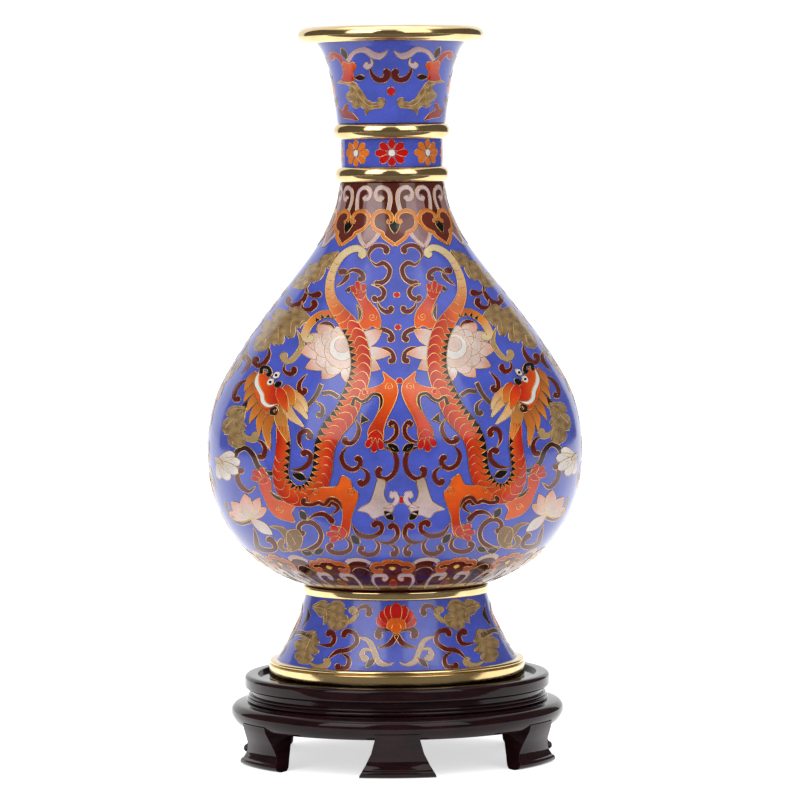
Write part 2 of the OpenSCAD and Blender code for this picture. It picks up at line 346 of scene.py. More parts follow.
class Bench:
    """Collects the cells and wires of one group of motifs and makes its pieces."""

    def __init__(self, name, slot):
        self.name, self.slot = name, slot
        self.pieces = [([], [], [], [0])]
        self.wires = ([], [])

    def cell(self, verts, faces, tints):
        if self.pieces[-1][3][0] >= CELLS_A_PIECE:
            self.pieces.append(([], [], [], [0]))
        v, f, t, count = self.pieces[-1]
        start = sum(len(a) for a in v)
        v.append(verts)
        f += [[i + start for i in face] for face in faces]
        t.append(tints)
        count[0] += 1

    def wire(self, verts, faces):
        start = sum(len(a) for a in self.wires[0])
        self.wires[0].append(verts)
        self.wires[1].extend([[i + start for i in face] for face in faces])

    def make(self):
        for k, (v, f, t, _) in enumerate(self.pieces):
            if v:
                obj = new_object(f"{self.name}_cells_{k + 1}", np.concatenate(v), f, ENAMEL, np.concatenate(t))
                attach(obj, "vase")
        if self.wires[0]:
            obj = new_object(self.name + "_wires", np.concatenate(self.wires[0]), self.wires[1], WIRE)
            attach(obj, "vase")


EDGE = 0.9                                     # beyond this share of the radius a drawing is squeezed, so that
ROOM = math.radians(88) - math.asin(EDGE)      # it ends before the side seam


def seen_from_front(face, turn=0.0, side=1):
    """Places a drawing given as a front elevation: x to the right of the axis, z above the vase's foot."""
    def place(p):
        near = face.radius(face.at(p[:, 1]))
        for _ in range(5):
            share = 1 - near / EYE_D
            s = face.at(EYE_Z + (p[:, 1] - EYE_Z) * share)
            r = face.radius(s)
            sine = p[:, 0] * share / r
            past = np.maximum(np.abs(sine) - EDGE, 0) / math.sqrt(1 - EDGE ** 2)
            angle = np.arcsin(np.minimum(np.abs(sine), EDGE)) + ROOM * np.tanh(past / ROOM)
            near = r * np.cos(angle)
        return turn + side * np.sign(sine) * angle, s
    place.side = side
    return place


def around(face, turn, height):
    """Places a small drawing about a point on the face; the drawing's own x and y are mm along the face."""
    s0 = float(face.at(height))
    def place(p):
        s = s0 + p[:, 1]
        return turn + p[:, 0] / face.radius(s), s
    place.side = 1
    return place


class Ribbon:
    """A band along a smooth line. Knots are (x, y) or (x, y, width); its ends are "bulb", "point" or "flat"."""

    def __init__(self, knots, width, start, end, bulb=1.35):
        K = [tuple(k) + ((width,) if len(k) < 3 else ()) for k in knots]
        P = smooth(K, 0.7)
        self.line = P[:, :2]
        self.d = np.concatenate([[0], np.cumsum(np.hypot(*np.diff(self.line, axis=0).T))])
        self.length = float(self.d[-1])
        along = np.gradient(self.line, axis=0)
        along /= np.maximum(np.hypot(*along.T), 1e-9)[:, None]
        self.across = np.stack([-along[:, 1], along[:, 0]], axis=1)
        # extra samples close the ends smoothly
        fine = [f for f in (0.05, 0.2, 0.45, 0.8) if f < self.length / 2]
        d = np.unique(np.concatenate([self.d, fine, self.length - np.array(fine)]))
        self.d, old = d, self.d
        self.line = np.stack([np.interp(d, old, self.line[:, k]) for k in (0, 1)], axis=1)
        self.across = np.stack([np.interp(d, old, self.across[:, k]) for k in (0, 1)], axis=1)
        half = np.interp(d, old, P[:, 2]) / 2
        for kind, far in ((start, d), (end, self.length - d)):
            if kind == "bulb":
                R = bulb * width / 2
                swell = np.clip((3 * R - far) / (2 * R), 0, 1)
                half = half + (R - half) * swell
                half = np.where(far < R, np.sqrt(np.maximum(R * R - (R - far) ** 2, 1e-4)), half)
            elif kind == "point":
                half = half * np.clip(far / min(3 * width, 0.6 * self.length), 0.02, 1) ** 0.7
        self.half = half

    def at(self, d, across):
        """Points at distance d along and at across = -1 (right edge) to 1 (left edge)."""
        d, across = np.broadcast_arrays(np.asarray(d, float), np.asarray(across, float))
        line = np.stack([np.interp(d, self.d, self.line[:, k]) for k in (0, 1)], axis=-1)
        square = np.stack([np.interp(d, self.d, self.across[:, k]) for k in (0, 1)], axis=-1)
        return line + square * (np.interp(d, self.d, self.half) * across)[..., None]

    def outline(self):
        left, right = self.at(self.d, 1), self.at(self.d, -1)
        return np.concatenate([left, right[::-1]])


def inside(points, outline):
    x, y = points[:, 0][:, None], points[:, 1][:, None]
    a, b = outline, np.roll(outline, -1, axis=0)
    crosses = (a[:, 1] > y) != (b[:, 1] > y)
    with np.errstate(divide="ignore", invalid="ignore"):
        at = a[:, 0] + (y - a[:, 1]) / (b[:, 1] - a[:, 1]) * (b[:, 0] - a[:, 0])
    return (crosses & (x < at)).sum(axis=1) % 2 == 1


def mix(a, b, share):
    share = np.asarray(share, float)[..., None]
    return np.asarray(a, float) * (1 - share) + np.asarray(b, float) * share


def fading(start, end, a, b):
    """A tint that runs from a at the point start to b at the point end."""
    start, run = np.array(start, float), np.array(end, float) - np.array(start, float)
    return lambda p: mix(a, b, np.clip((p - start) @ run / (run @ run), 0, 1))


class Pen:
    """Draws cells and wires on a face. Its own drawing plane may be moved, turned, scaled and flipped."""

    def __init__(self, bench, face, place, layer=1, matrix=None, scale=1.0):
        self.bench, self.face, self.place, self.layer, self.scale = bench, face, place, layer, scale
        self.matrix = np.array([[1, 0, 0], [0, 1, 0]], float) if matrix is None else matrix

    def moved(self, x=0, y=0, angle=0, scale=1.0, flip=False, layer=0):
        c, s = math.cos(math.radians(angle)) * scale, math.sin(math.radians(angle)) * scale
        f = -1 if flip else 1
        m = np.array([[c * f, -s, x], [s * f, c, y], [0, 0, 1]])
        return Pen(self.bench, self.face, self.place, self.layer + layer, self.matrix @ m, self.scale * scale)

    def sides(self, layer=0):
        """This pen and its mirror image."""
        return [self.moved(flip=flip, layer=layer) for flip in (False, True)]

    def on_face(self, p):
        """The angle and length along the face of each point p of the drawing plane."""
        return self.place(p @ self.matrix[:, :2].T + self.matrix[:, 2])

    def put(self, p, lift):
        return self.face.points(*self.on_face(p), lift)

    def faces(self, faces):
        flipped = np.linalg.det(self.matrix[:, :2]) * self.place.side < 0
        return [f[::-1] for f in faces] if flipped else faces

    def tinted(self, tint, p):
        return tint(p) if callable(tint) else np.tile(np.array(tint, float), (len(p), 1))

    def cell(self, outline, tint, layer=0, wire=WIRE_W, rounded=False):
        """A filled outline with a wire of that width, or with no wire when it is 0."""
        P = np.array(outline, float)
        edge = 0.8 / self.scale
        if rounded:
            P = smooth(P, edge, closed=True)
        else:
            parts = []
            for a, b in zip(P, np.roll(P, -1, axis=0)):
                n = max(1, int(math.hypot(*(b - a)) / edge))
                parts.append(a + (b - a) * (np.arange(n) / n)[:, None])
            P = np.concatenate(parts)
        if ((P * np.roll(P, -1, axis=0)[:, ::-1] * [1, -1]).sum()) < 0:
            P = P[::-1]
        low, high = P.min(0), P.max(0)
        middle_r = float(self.face.radius(self.on_face(((low + high) / 2)[None])[1][0]))
        gap = 0.25 * math.sqrt(middle_r) / self.scale
        grid = np.array([(x + (j % 2) * gap / 2, y) for j, y in enumerate(np.arange(low[1], high[1], gap * 0.87))
                         for x in np.arange(low[0], high[0], gap)])
        if len(grid):
            grid = grid[inside(grid, P)]
        if len(grid):
            away = np.min(np.hypot(*(grid[:, None] - P[None]).transpose(2, 0, 1)), axis=1)
            grid = grid[away > gap * 0.45]
        n = len(P)
        points = [Vector(p) for p in P] + [Vector(p) for p in grid]
        edges = [(i, (i + 1) % n) for i in range(n)]
        verts, _, faces, *_ = delaunay_2d_cdt(points, edges, [], 1, 1e-5)
        flat = np.array([tuple(v) for v in verts])
        lift = (self.layer + layer) * LAYER
        self.bench.cell(self.put(flat, lift), self.faces([list(f) for f in faces]), self.tinted(tint, flat))
        if wire:
            self.line(P, layer, wire, closed=True)

    def blob(self, outline, tint, layer=0):
        """A cell whose outline is a smooth closed curve through the points."""
        self.cell(outline, tint, layer, rounded=True)

    def strip(self, ribbon, tint, layer=0, wire=WIRE_W):
        """A band; its tint may be a function of (share of the length, across)."""
        m = 5
        d, a = np.meshgrid(ribbon.d, np.linspace(-1, 1, m), indexing="ij")
        P = ribbon.at(d, a).reshape(-1, 2)
        faces = [(i * m + k, i * m + k + 1, (i + 1) * m + k + 1, (i + 1) * m + k)[::-1]
                 for i in range(len(ribbon.d) - 1) for k in range(m - 1)]
        if callable(tint):
            tints = tint((d / ribbon.length).ravel(), a.ravel())
        else:
            tints = np.tile(np.array(tint, float), (len(P), 1))
        self.bench.cell(self.put(P, (self.layer + layer) * LAYER), self.faces(faces), tints)
        if wire:
            self.line(ribbon.outline(), layer, wire, closed=True)

    def line(self, path, layer=0, width=WIRE_W, closed=False, curved=False):
        """A wire along the path."""
        P = smooth(path, 0.7 / self.scale, closed) if curved else np.array(path, float)
        keep = np.hypot(*(P - np.roll(P, 1, axis=0)).T) > 0.04 / self.scale
        keep[0] = True
        P = P[keep]
        if len(P) < 2:
            return
        lift = (self.layer + layer) * LAYER + 0.024
        top = self.put(P, lift)
        up = self.put(P, lift + 1) - top
        ends = (np.roll(top, -1, axis=0), np.roll(top, 1, axis=0))
        along = ends[0] - ends[1]
        if not closed:
            along[0], along[-1] = top[1] - top[0], top[-1] - top[-2]
        across = np.cross(up, along)
        across /= np.maximum(np.linalg.norm(across, axis=1), 1e-12)[:, None]
        w = width / 2 * MM
        rows = [top - across * w * 1.25 - up * 0.1, top - across * w * 0.6, top + across * w * 0.6,
                top + across * w * 1.25 - up * 0.1]
        verts = np.stack(rows, axis=1).reshape(-1, 3)
        n = len(P)
        faces = []
        for i in range(n if closed else n - 1):
            q = (i + 1) % n
            faces += [(i * 4 + k, q * 4 + k, q * 4 + k + 1, i * 4 + k + 1) for k in range(3)]
        self.bench.wire(verts, faces)

    def dot(self, x, y, radius, tint, layer=0, wire=WIRE_W):
        self.cell([(x + radius * math.cos(TAU * k / 14), y + radius * math.sin(TAU * k / 14)) for k in range(14)],
                  tint, layer, wire)

    def band(self, knots, width, start, end, tint, layer=0):
        self.strip(Ribbon(knots, width, start, end), tint, layer)

    def scroll(self, knots, tint=None, width=1.85, layer=0):
        """A band that starts in a point and ends in a round curl."""
        self.band(knots, width, "point", "bulb", MAROON if tint is None else tint, layer)

    def petal(self, base, tip, width, tint, layer=0, full=0.55, wire=WIRE_W, sharp=True):
        """A petal or plain leaf from base to tip, widest at the share full of its length."""
        base, tip = np.array(base, float), np.array(tip, float)
        run = tip - base
        square = np.array([-run[1], run[0]]) / max(np.hypot(*run), 1e-9) * width / 2
        t = np.linspace(0, 1, 13)
        rise, fall = np.clip(t / full, 0, 1), np.clip((t - full) / (1 - full), 0, 1)
        swell = np.where(t < full, np.sin(rise * math.pi / 2) ** 0.8,
                         np.maximum(np.cos(fall * math.pi / 2), 0) ** (0.9 if sharp else 0.55))
        left = base + run * t[:, None] + square * swell[:, None]
        right = base + run * t[:, None] - square * swell[:, None]
        self.cell(np.concatenate([left, right[::-1][1:-1]]), tint, layer, wire)

    def coil(self, x, y, radius, turns, angle, layer):
        """A spiral wire, as on a dragon's knee or in the heart of a flower."""
        t = np.linspace(0, 1, int(16 * turns) + 4)
        a = math.radians(angle) + t * turns * TAU
        r = radius * (0.12 + 0.88 * t)
        self.line(np.stack([x + r * np.cos(a), y + r * np.sin(a)], axis=1), layer)

    def leaf(self, spine, widths, lobes):
        """A mottled leaf along a spine: widths at its knots, lobes on each side, and wire veins."""
        R = Ribbon([tuple(p) + (w,) for p, w in zip(spine, widths)], 1, "flat", "flat")
        sides = []
        for side in (1, -1):
            edge = []
            for k in range(lobes):
                t0, t1 = k / lobes, (k + 1) / lobes
                for t in np.linspace(0, 1, 7)[:-1]:
                    reach = 0.5 + 0.5 * math.sin(math.pi * min(t * 1.25, 1)) ** 0.7 if t < 0.8 \
                        else 1 - 0.5 * (t - 0.8) / 0.2
                    edge.append(R.at((t0 + (t1 - t0) * (t + 0.22 * math.sin(math.pi * t))) * R.length, side * reach))
            sides.append(np.array(edge))
        tip = R.at(R.length, 0)[None]
        outline = np.concatenate([sides[0], tip, sides[1][::-1]])
        self.cell(outline, mottled)
        self.line(R.at(np.linspace(0.02, 0.96, 24) * R.length, 0), width=0.22)
        for side in (1, -1):
            for k in range(lobes):
                start, stop = (k + 0.02) / lobes, (k + 0.62) / lobes
                t = np.linspace(0, 1, 8)
                self.line(R.at((start + (stop - start) * t) * R.length, side * 0.7 * t), width=0.18)


def polar(angle, reach):
    return math.cos(angle) * reach, math.sin(angle) * reach


MAROON, DARK, BLACK = rgb(96, 20, 18), rgb(52, 20, 20), rgb(14, 10, 12)
RED, SCARLET, ORANGE, AMBER = rgb(196, 8, 10), rgb(190, 22, 8), rgb(230, 92, 10), rgb(230, 142, 50)
CREAM, WHITE, KHAKI, SAND = rgb(224, 206, 160), rgb(232, 226, 220), rgb(178, 148, 100), rgb(136, 102, 62)
LILAC, BEIGE, TAUPE, ROSE = rgb(204, 180, 184), rgb(186, 162, 138), rgb(92, 70, 64), rgb(222, 140, 106)
YELLOW, PEACH, BLUE, MAROON_GROUND = rgb(236, 200, 80), rgb(228, 200, 188), rgb(76, 90, 192), rgb(84, 30, 24)


def mottled(p):
    """Khaki clouded with brown, for the leaves."""
    cloud = np.sin(p[:, 0] * 1.3 + 0.9 * p[:, 1]) * np.cos(p[:, 1] * 1.1 - 0.6 * p[:, 0])
    return mix(KHAKI, rgb(112, 78, 46), np.clip(0.42 + 0.5 * cloud, 0, 1))


def bud(pen, x, y, angle, size, tips=ROSE, heart=WHITE):
    """A half-open flower: outer petals behind, a centre petal in front."""
    p = pen.moved(x, y, angle, size)
    for k, (a, length, width) in enumerate(((64, 8, 3.6), (-64, 8, 3.6), (34, 9.4, 4), (-34, 9.4, 4), (0, 10, 4.6))):
        tip = polar(math.radians(90 + a), length)
        p.petal((0, 0), tip, width, fading((0, 0), tip, heart, tips), k // 2)


def palmette(pen, x, y, angle, size, tint):
    """A trumpet flower seen from the side: five round-ended fingers fanning out of a narrow calyx."""
    p = pen.moved(x, y, angle, size)
    for k, (a, reach) in enumerate(((54, 8.4), (-54, 8.4), (27, 10.4), (-27, 10.4), (0, 11))):
        tip = polar(math.radians(90 + a), reach)
        p.petal((0, 0), tip, 4.2, fading((0, 0), tip, BEIGE, tint), k // 2, 0.72, sharp=False)
    p.petal((0, -2.6), (0, 3.4), 2.4, KHAKI, 3)


# ---- the belly: one quarter, drawn as the front elevation to the left of a dragons' centre line ----

TAIL_TO_NECK = [(-13.8, 161.6, 1.6), (-12.2, 163.4, 2.2), (-14.4, 165, 2.4), (-18, 164, 2.4), (-21.6, 160.6, 2.4),
    (-24.4, 155.2, 2.7), (-25.4, 150, 3.2), (-24.8, 145.4, 4), (-22.4, 140.8, 5.4), (-19, 136.2, 6.6),
    (-16.4, 131.4, 7.2), (-15, 126, 7.4), (-14.6, 120.6, 7.5), (-15.4, 115, 7.7), (-17.6, 109.6, 8),
    (-21, 101.6, 8.6), (-25.6, 96, 8.6), (-28.6, 90.4, 8), (-29.6, 85, 7.6), (-30.2, 79.4, 7.6), (-32.4, 73.8, 8),
    (-36.4, 70.4, 8), (-41.2, 70.4, 7.6), (-44.8, 74.2, 6.8), (-45.8, 79.4, 5.8), (-45.2, 84.8, 5.6),
    (-44.7, 90.4, 5.2), (-45, 97, 4.4)]
SECOND_TAIL = [(-21.6, 138.4, 3.4), (-25, 139.8, 3), (-29, 139.6, 2.8), (-33, 136.6, 2.8), (-35.4, 132.4, 2.8),
    (-34.6, 130.2, 2.8), (-32.2, 131.4, 2.4)]


def dragon_body(pen):
    body = Ribbon(TAIL_TO_NECK, 3, "bulb", "flat", 0.9)
    tail_end = 34 / body.length
    def skin(t, a):
        """Scarlet under the spines, orange along the back, cream at the tail's tip."""
        flank = mix(SCARLET, ORANGE, np.clip((1 - a) / 2, 0, 1) ** 1.2)
        tail = mix(CREAM, AMBER, np.clip(t / tail_end, 0, 1) ** 2)
        return mix(tail, flank, np.clip((t - tail_end * 0.7) / (tail_end * 0.5), 0, 1))
    fork = Ribbon(SECOND_TAIL, 2.6, "flat", "bulb", 0.9)
    pen.strip(fork, lambda t, a: mix(mix(SCARLET, AMBER, np.clip(t * 1.8, 0, 1)), CREAM, np.clip(t * 2.6 - 1.4, 0,
        1)))
    for k in range(4):
        d = 2.4 + 2.6 * k
        pen.cell([fork.at(d - 1.1, 1), fork.at(d, -0.2), fork.at(d + 1.1, 1)], BLACK, 1, 0.22)
    pen.strip(body, skin, 1)
    for k in range(8):
        d = 15 + 3.4 * k
        pen.line(body.at(d + 0.9 * (1 - np.linspace(-1, 1, 9) ** 2), np.linspace(-1, 1, 9)), 1, 0.3)
    first, last = 43, body.length - 6
    for k in range(int((last - first) / 3.3)):
        d = first + 3.3 * k
        a = np.linspace(-0.46, 1, 10)
        pen.line(body.at(d - 2.4 * (1 - ((a - 0.27) / 0.73) ** 2), a), 1, 0.34)
    for k in range(int((last + 2 - first) / 2.7)):
        d = first + 2.7 * k
        pen.cell([body.at(d - 1.4, -1), body.at(d, -0.3), body.at(d + 1.4, -1)], BLACK, 2, 0.22)


def paw(pen, x, y, angle, size):
    """A pad and three toes, drawn pointing up."""
    p = pen.moved(x, y, angle, size)
    tint = fading((0, -4), (0, 6), SCARLET, RED)
    p.blob([(-3.4, 0.6), (-2.6, -2.4), (0, -4.2), (2.6, -2.4), (3.4, 0.6), (2.4, 2.4), (-2.4, 2.4)], tint)
    for k, (tx, ty) in enumerate(((-3.1, 4.2), (3.1, 4), (0, 5.8))):
        p.strip(Ribbon([(tx * 0.5, -0.6), (tx * 0.9, 2), (tx, ty)], 2.7, "point", "bulb", 1.0), RED, 1 + k // 2, 0.22)


def leg_1(pen):
    tint = fading((-12, 149), (-8, 135), SCARLET, ORANGE)
    pen.blob([(-16.9, 148.6), (-15.4, 145.4), (-13.6, 141.6), (-13.4, 138.4), (-15.4, 135.2), (-12, 133.8),
        (-9.6, 135), (-7.2, 134), (-6.4, 136.8), (-7.4, 140.6), (-9.6, 143.6), (-11.6, 146.2), (-12.2, 149.6)], tint)
    paw(pen, -14.2, 148.2, 12, 0.72)
    pen.coil(-9.6, 138.6, 1.7, 1.5, 200, 0)
    pen.band([(-19, 148.6), (-17.4, 150), (-15.6, 150.2)], 1.6, "flat", "point", DARK, -2)
    pen.band([(-15.4, 143.6), (-14.4, 140.4), (-15, 136.8)], 1.8, "point", "point", TAUPE, -1)


def leg_2(pen):
    tint = fading((-9, 90), (-3, 111), SCARLET, ORANGE)
    pen.blob([(-14.6, 110.6), (-11, 111.2), (-7.8, 112.2), (-5.8, 114.2), (-6.4, 117.4), (-3.8, 115.4), (-1.4, 113.4),
        (-0.7, 109.6), (-2.4, 104.6), (-4.8, 100), (-6.4, 95.4), (-7, 90.8), (-12.2, 91.6), (-12.4, 95), (-9.6, 99.8),
        (-7.8, 104.4), (-8.2, 107.8), (-10.6, 108.2), (-13.8, 105.4), (-16, 106)], tint, 2)
    paw(pen.moved(layer=2), -9.8, 91.4, 172, 0.86)
    pen.coil(-3.9, 111.6, 1.7, 1.5, 30, 2)
    pen.band([(-18.4, 104.2), (-17.2, 107.4), (-14.8, 106), (-12.6, 106.8), (-10.4, 108.8), (-7.6, 108.2),
        (-7.2, 105), (-8.6, 101.6)], 1.3, "bulb", "point", DARK, 3)
    pen.dot(-13.4, 109.6, 1.0, RED, 3)
    pen.cell([(-15, 101.4), (-11.8, 98.6), (-13.6, 98.2), (-15.4, 97.2)], BLACK, 2)


def leg_3(pen):
    tint = fading((-22, 54), (-18, 71), SCARLET, ORANGE)
    pen.blob([(-34.6, 70.6), (-31.6, 73), (-27, 73.2), (-24.4, 74), (-22.6, 77.6), (-19.6, 75.8), (-18.6, 73),
        (-16.4, 70.2), (-17.4, 66.6), (-19, 62), (-19.6, 57.6), (-20.6, 54), (-24.4, 54.4), (-23, 58.4), (-22.4, 62),
        (-23.2, 66), (-26.2, 68.2), (-30, 66.6), (-34, 66.8)], tint, 2)
    paw(pen.moved(layer=2), -24, 55.4, 92, 0.78)
    pen.coil(-19, 71.2, 1.7, 1.5, 60, 2)
    pen.coil(-32.8, 71.4, 1.4, 1.3, 0, 2)
    pen.band([(-36.6, 69.2), (-37.4, 67.2), (-34.4, 66.6), (-31.6, 67.4), (-29.4, 66.6), (-27, 68.8), (-24, 67.6),
        (-22.4, 64.2)], 1.5, "bulb", "point", MAROON, 3)


def leg_4(pen):
    tint = fading((-54, 80), (-44, 64), SCARLET, ORANGE)
    pen.blob([(-43.6, 67.4), (-40.4, 66.4), (-41.8, 63.8), (-40.6, 60), (-43.4, 60.4), (-47.2, 61.8), (-50.2, 65),
        (-52.2, 69.6), (-54, 75), (-52, 77.6), (-49.6, 76.2), (-49.2, 72), (-46.4, 69)], tint, -1)
    paw(pen.moved(layer=-1), -53, 77.4, 48, 0.72)
    pen.coil(-46, 64.6, 1.6, 1.5, 0, -1)
    pen.band([(-50.4, 72.4), (-47.4, 69.6), (-44.2, 68.6), (-40.6, 67.6)], 1.3, "point", "point", DARK, 0)


def lock(pen, knots, width, root, tip, layer):
    """One flame-shaped lock of mane or beard."""
    pen.band(knots, width, "flat", "point", lambda t, a: mix(root, tip, t), layer)


def head(pen):
    """The head, hanging down and turned up: mane, beard and whiskers, face, teeth, horn, eyes and muzzle."""
    h = pen.moved(layer=2)
    root = rgb(168, 84, 34)
    for knots, width in (([(-53.6, 117.2), (-56.4, 114.8), (-58.6, 110.6)], 2.8), ([(-54, 113.4), (-56.8, 110.2),
            (-59, 106.6)], 3), ([(-53.6, 109.4), (-56.4, 105.8), (-58, 102.8)], 3), ([(-52.6, 106.2), (-55.2, 102.2),
            (-57.2, 98.4)], 3.2), ([(-51, 103.4), (-53.4, 98.4), (-53.6, 93.6)], 3.2), ([(-48.8, 102.4),
            (-50.8, 95.4), (-49.6, 87.8)], 3.6)):
        lock(h, knots, width, root, AMBER, -1)
    lock(h, [(-46.2, 104.6), (-45.2, 98.4), (-43, 90.6)], 4.6, rgb(170, 112, 58), AMBER, 0)
    for knots, width in (([(-44.5, 106.4), (-41.7, 101.2), (-36.9, 96.6)], 3.4), ([(-42, 108), (-38, 103.6),
            (-35.3, 99.4)], 3.2), ([(-41, 109.8), (-36.9, 106), (-35.4, 102.2)], 2.8)):
        lock(h, knots, width, AMBER, CREAM, 0)
    h.blob([(-53.2, 118.2), (-51, 118.2), (-49, 115.4), (-47.2, 112.6), (-46, 109.4), (-46, 105.6), (-47.6, 103),
        (-50.6, 102.4), (-53.2, 105.6), (-54.8, 110), (-54.8, 114.4)], fading((-54, 110), (-47, 110), ORANGE,
        SCARLET), 1)
    h.band([(-52.9, 118), (-54, 113.6), (-52.2, 109), (-51.8, 106.4), (-49.8, 104.8), (-46.6, 105.4)], 1.6, "point",
        "point", WHITE, 2)
    h.band([(-52.2, 117.2), (-51.6, 119.6), (-49.4, 119.2), (-48.9, 117.2), (-50.4, 116.6)], 1.4, "flat", "bulb",
        BLACK, 2)
    for x, y, tilt in ((-46.8, 116.5, 0.5), (-49.1, 113.9, 0.3)):
        h.blob([(x - 1.1, y - 0.8), (x + 0.6, y - 1.1), (x + 1.1 + tilt, y + 1), (x - 0.4 + tilt, y + 1.3)], WHITE, 3)
        h.dot(x + 0.2, y, 0.55, BLACK, 4, 0)
    h.blob([(-47.6, 112.4), (-46.6, 113.9), (-44.8, 114.1), (-44.6, 112.9), (-46.4, 111.6)], BLACK, 4)
    h.petal((-40.4, 104.6), (-43.6, 112.8), 4.6, fading((-40, 105), (-44, 113), AMBER, SCARLET), 2, 0.6, sharp=False)
    h.petal((-43, 102.4), (-46, 112), 4, fading((-43, 103), (-46, 112), ORANGE, RED), 3, 0.62, sharp=False)
    h.blob([(-49.4, 103.4), (-47.2, 104.4), (-46.2, 102.8), (-47.6, 101.2), (-49.4, 101.6)], DARK, 4)
    h.coil(-47.6, 103, 0.8, 1.1, 0, 5)


def lotus(pen):
    """The open lotus behind the dragon's back."""
    f = pen.moved(-20.6, 125, layer=-1)
    for a, length, width in (
            (-86, 17.6, 6.4), (92, 17.6, 5), (-112, 16.4, 6), (-66, 17.2, 7), (58, 17, 6), (118, 15, 6), (-140, 14, 6),
            (-40, 15.4, 6.6), (148, 12.6, 6.4), (170, 13.6, 6.6)):
        x, y = polar(math.radians(90 - a), length)
        tip = (x, y * 0.94)
        f.petal((0, 0), tip, width, fading((tip[0] * 0.5, tip[1] * 0.5), tip, WHITE, ROSE), -1, 0.62)
    for a, length, width in ((-75, 12, 7.4), (-108, 11.6, 7), (-45, 11, 7), (-140, 10.4, 6.6), (-15, 10.4, 6.6)):
        tip = polar(math.radians(90 - a), length)
        f.petal((0, 0), tip, width, fading((0, 0), tip, WHITE, PEACH), 0, 0.66, sharp=False)
    for k, (r, y) in enumerate(((6.8, 0.6), (4.9, 1.8), (2.8, 2.8))):
        f.dot(-1, y, r, (PEACH, WHITE, PEACH)[k], 1 + k, 0.24)


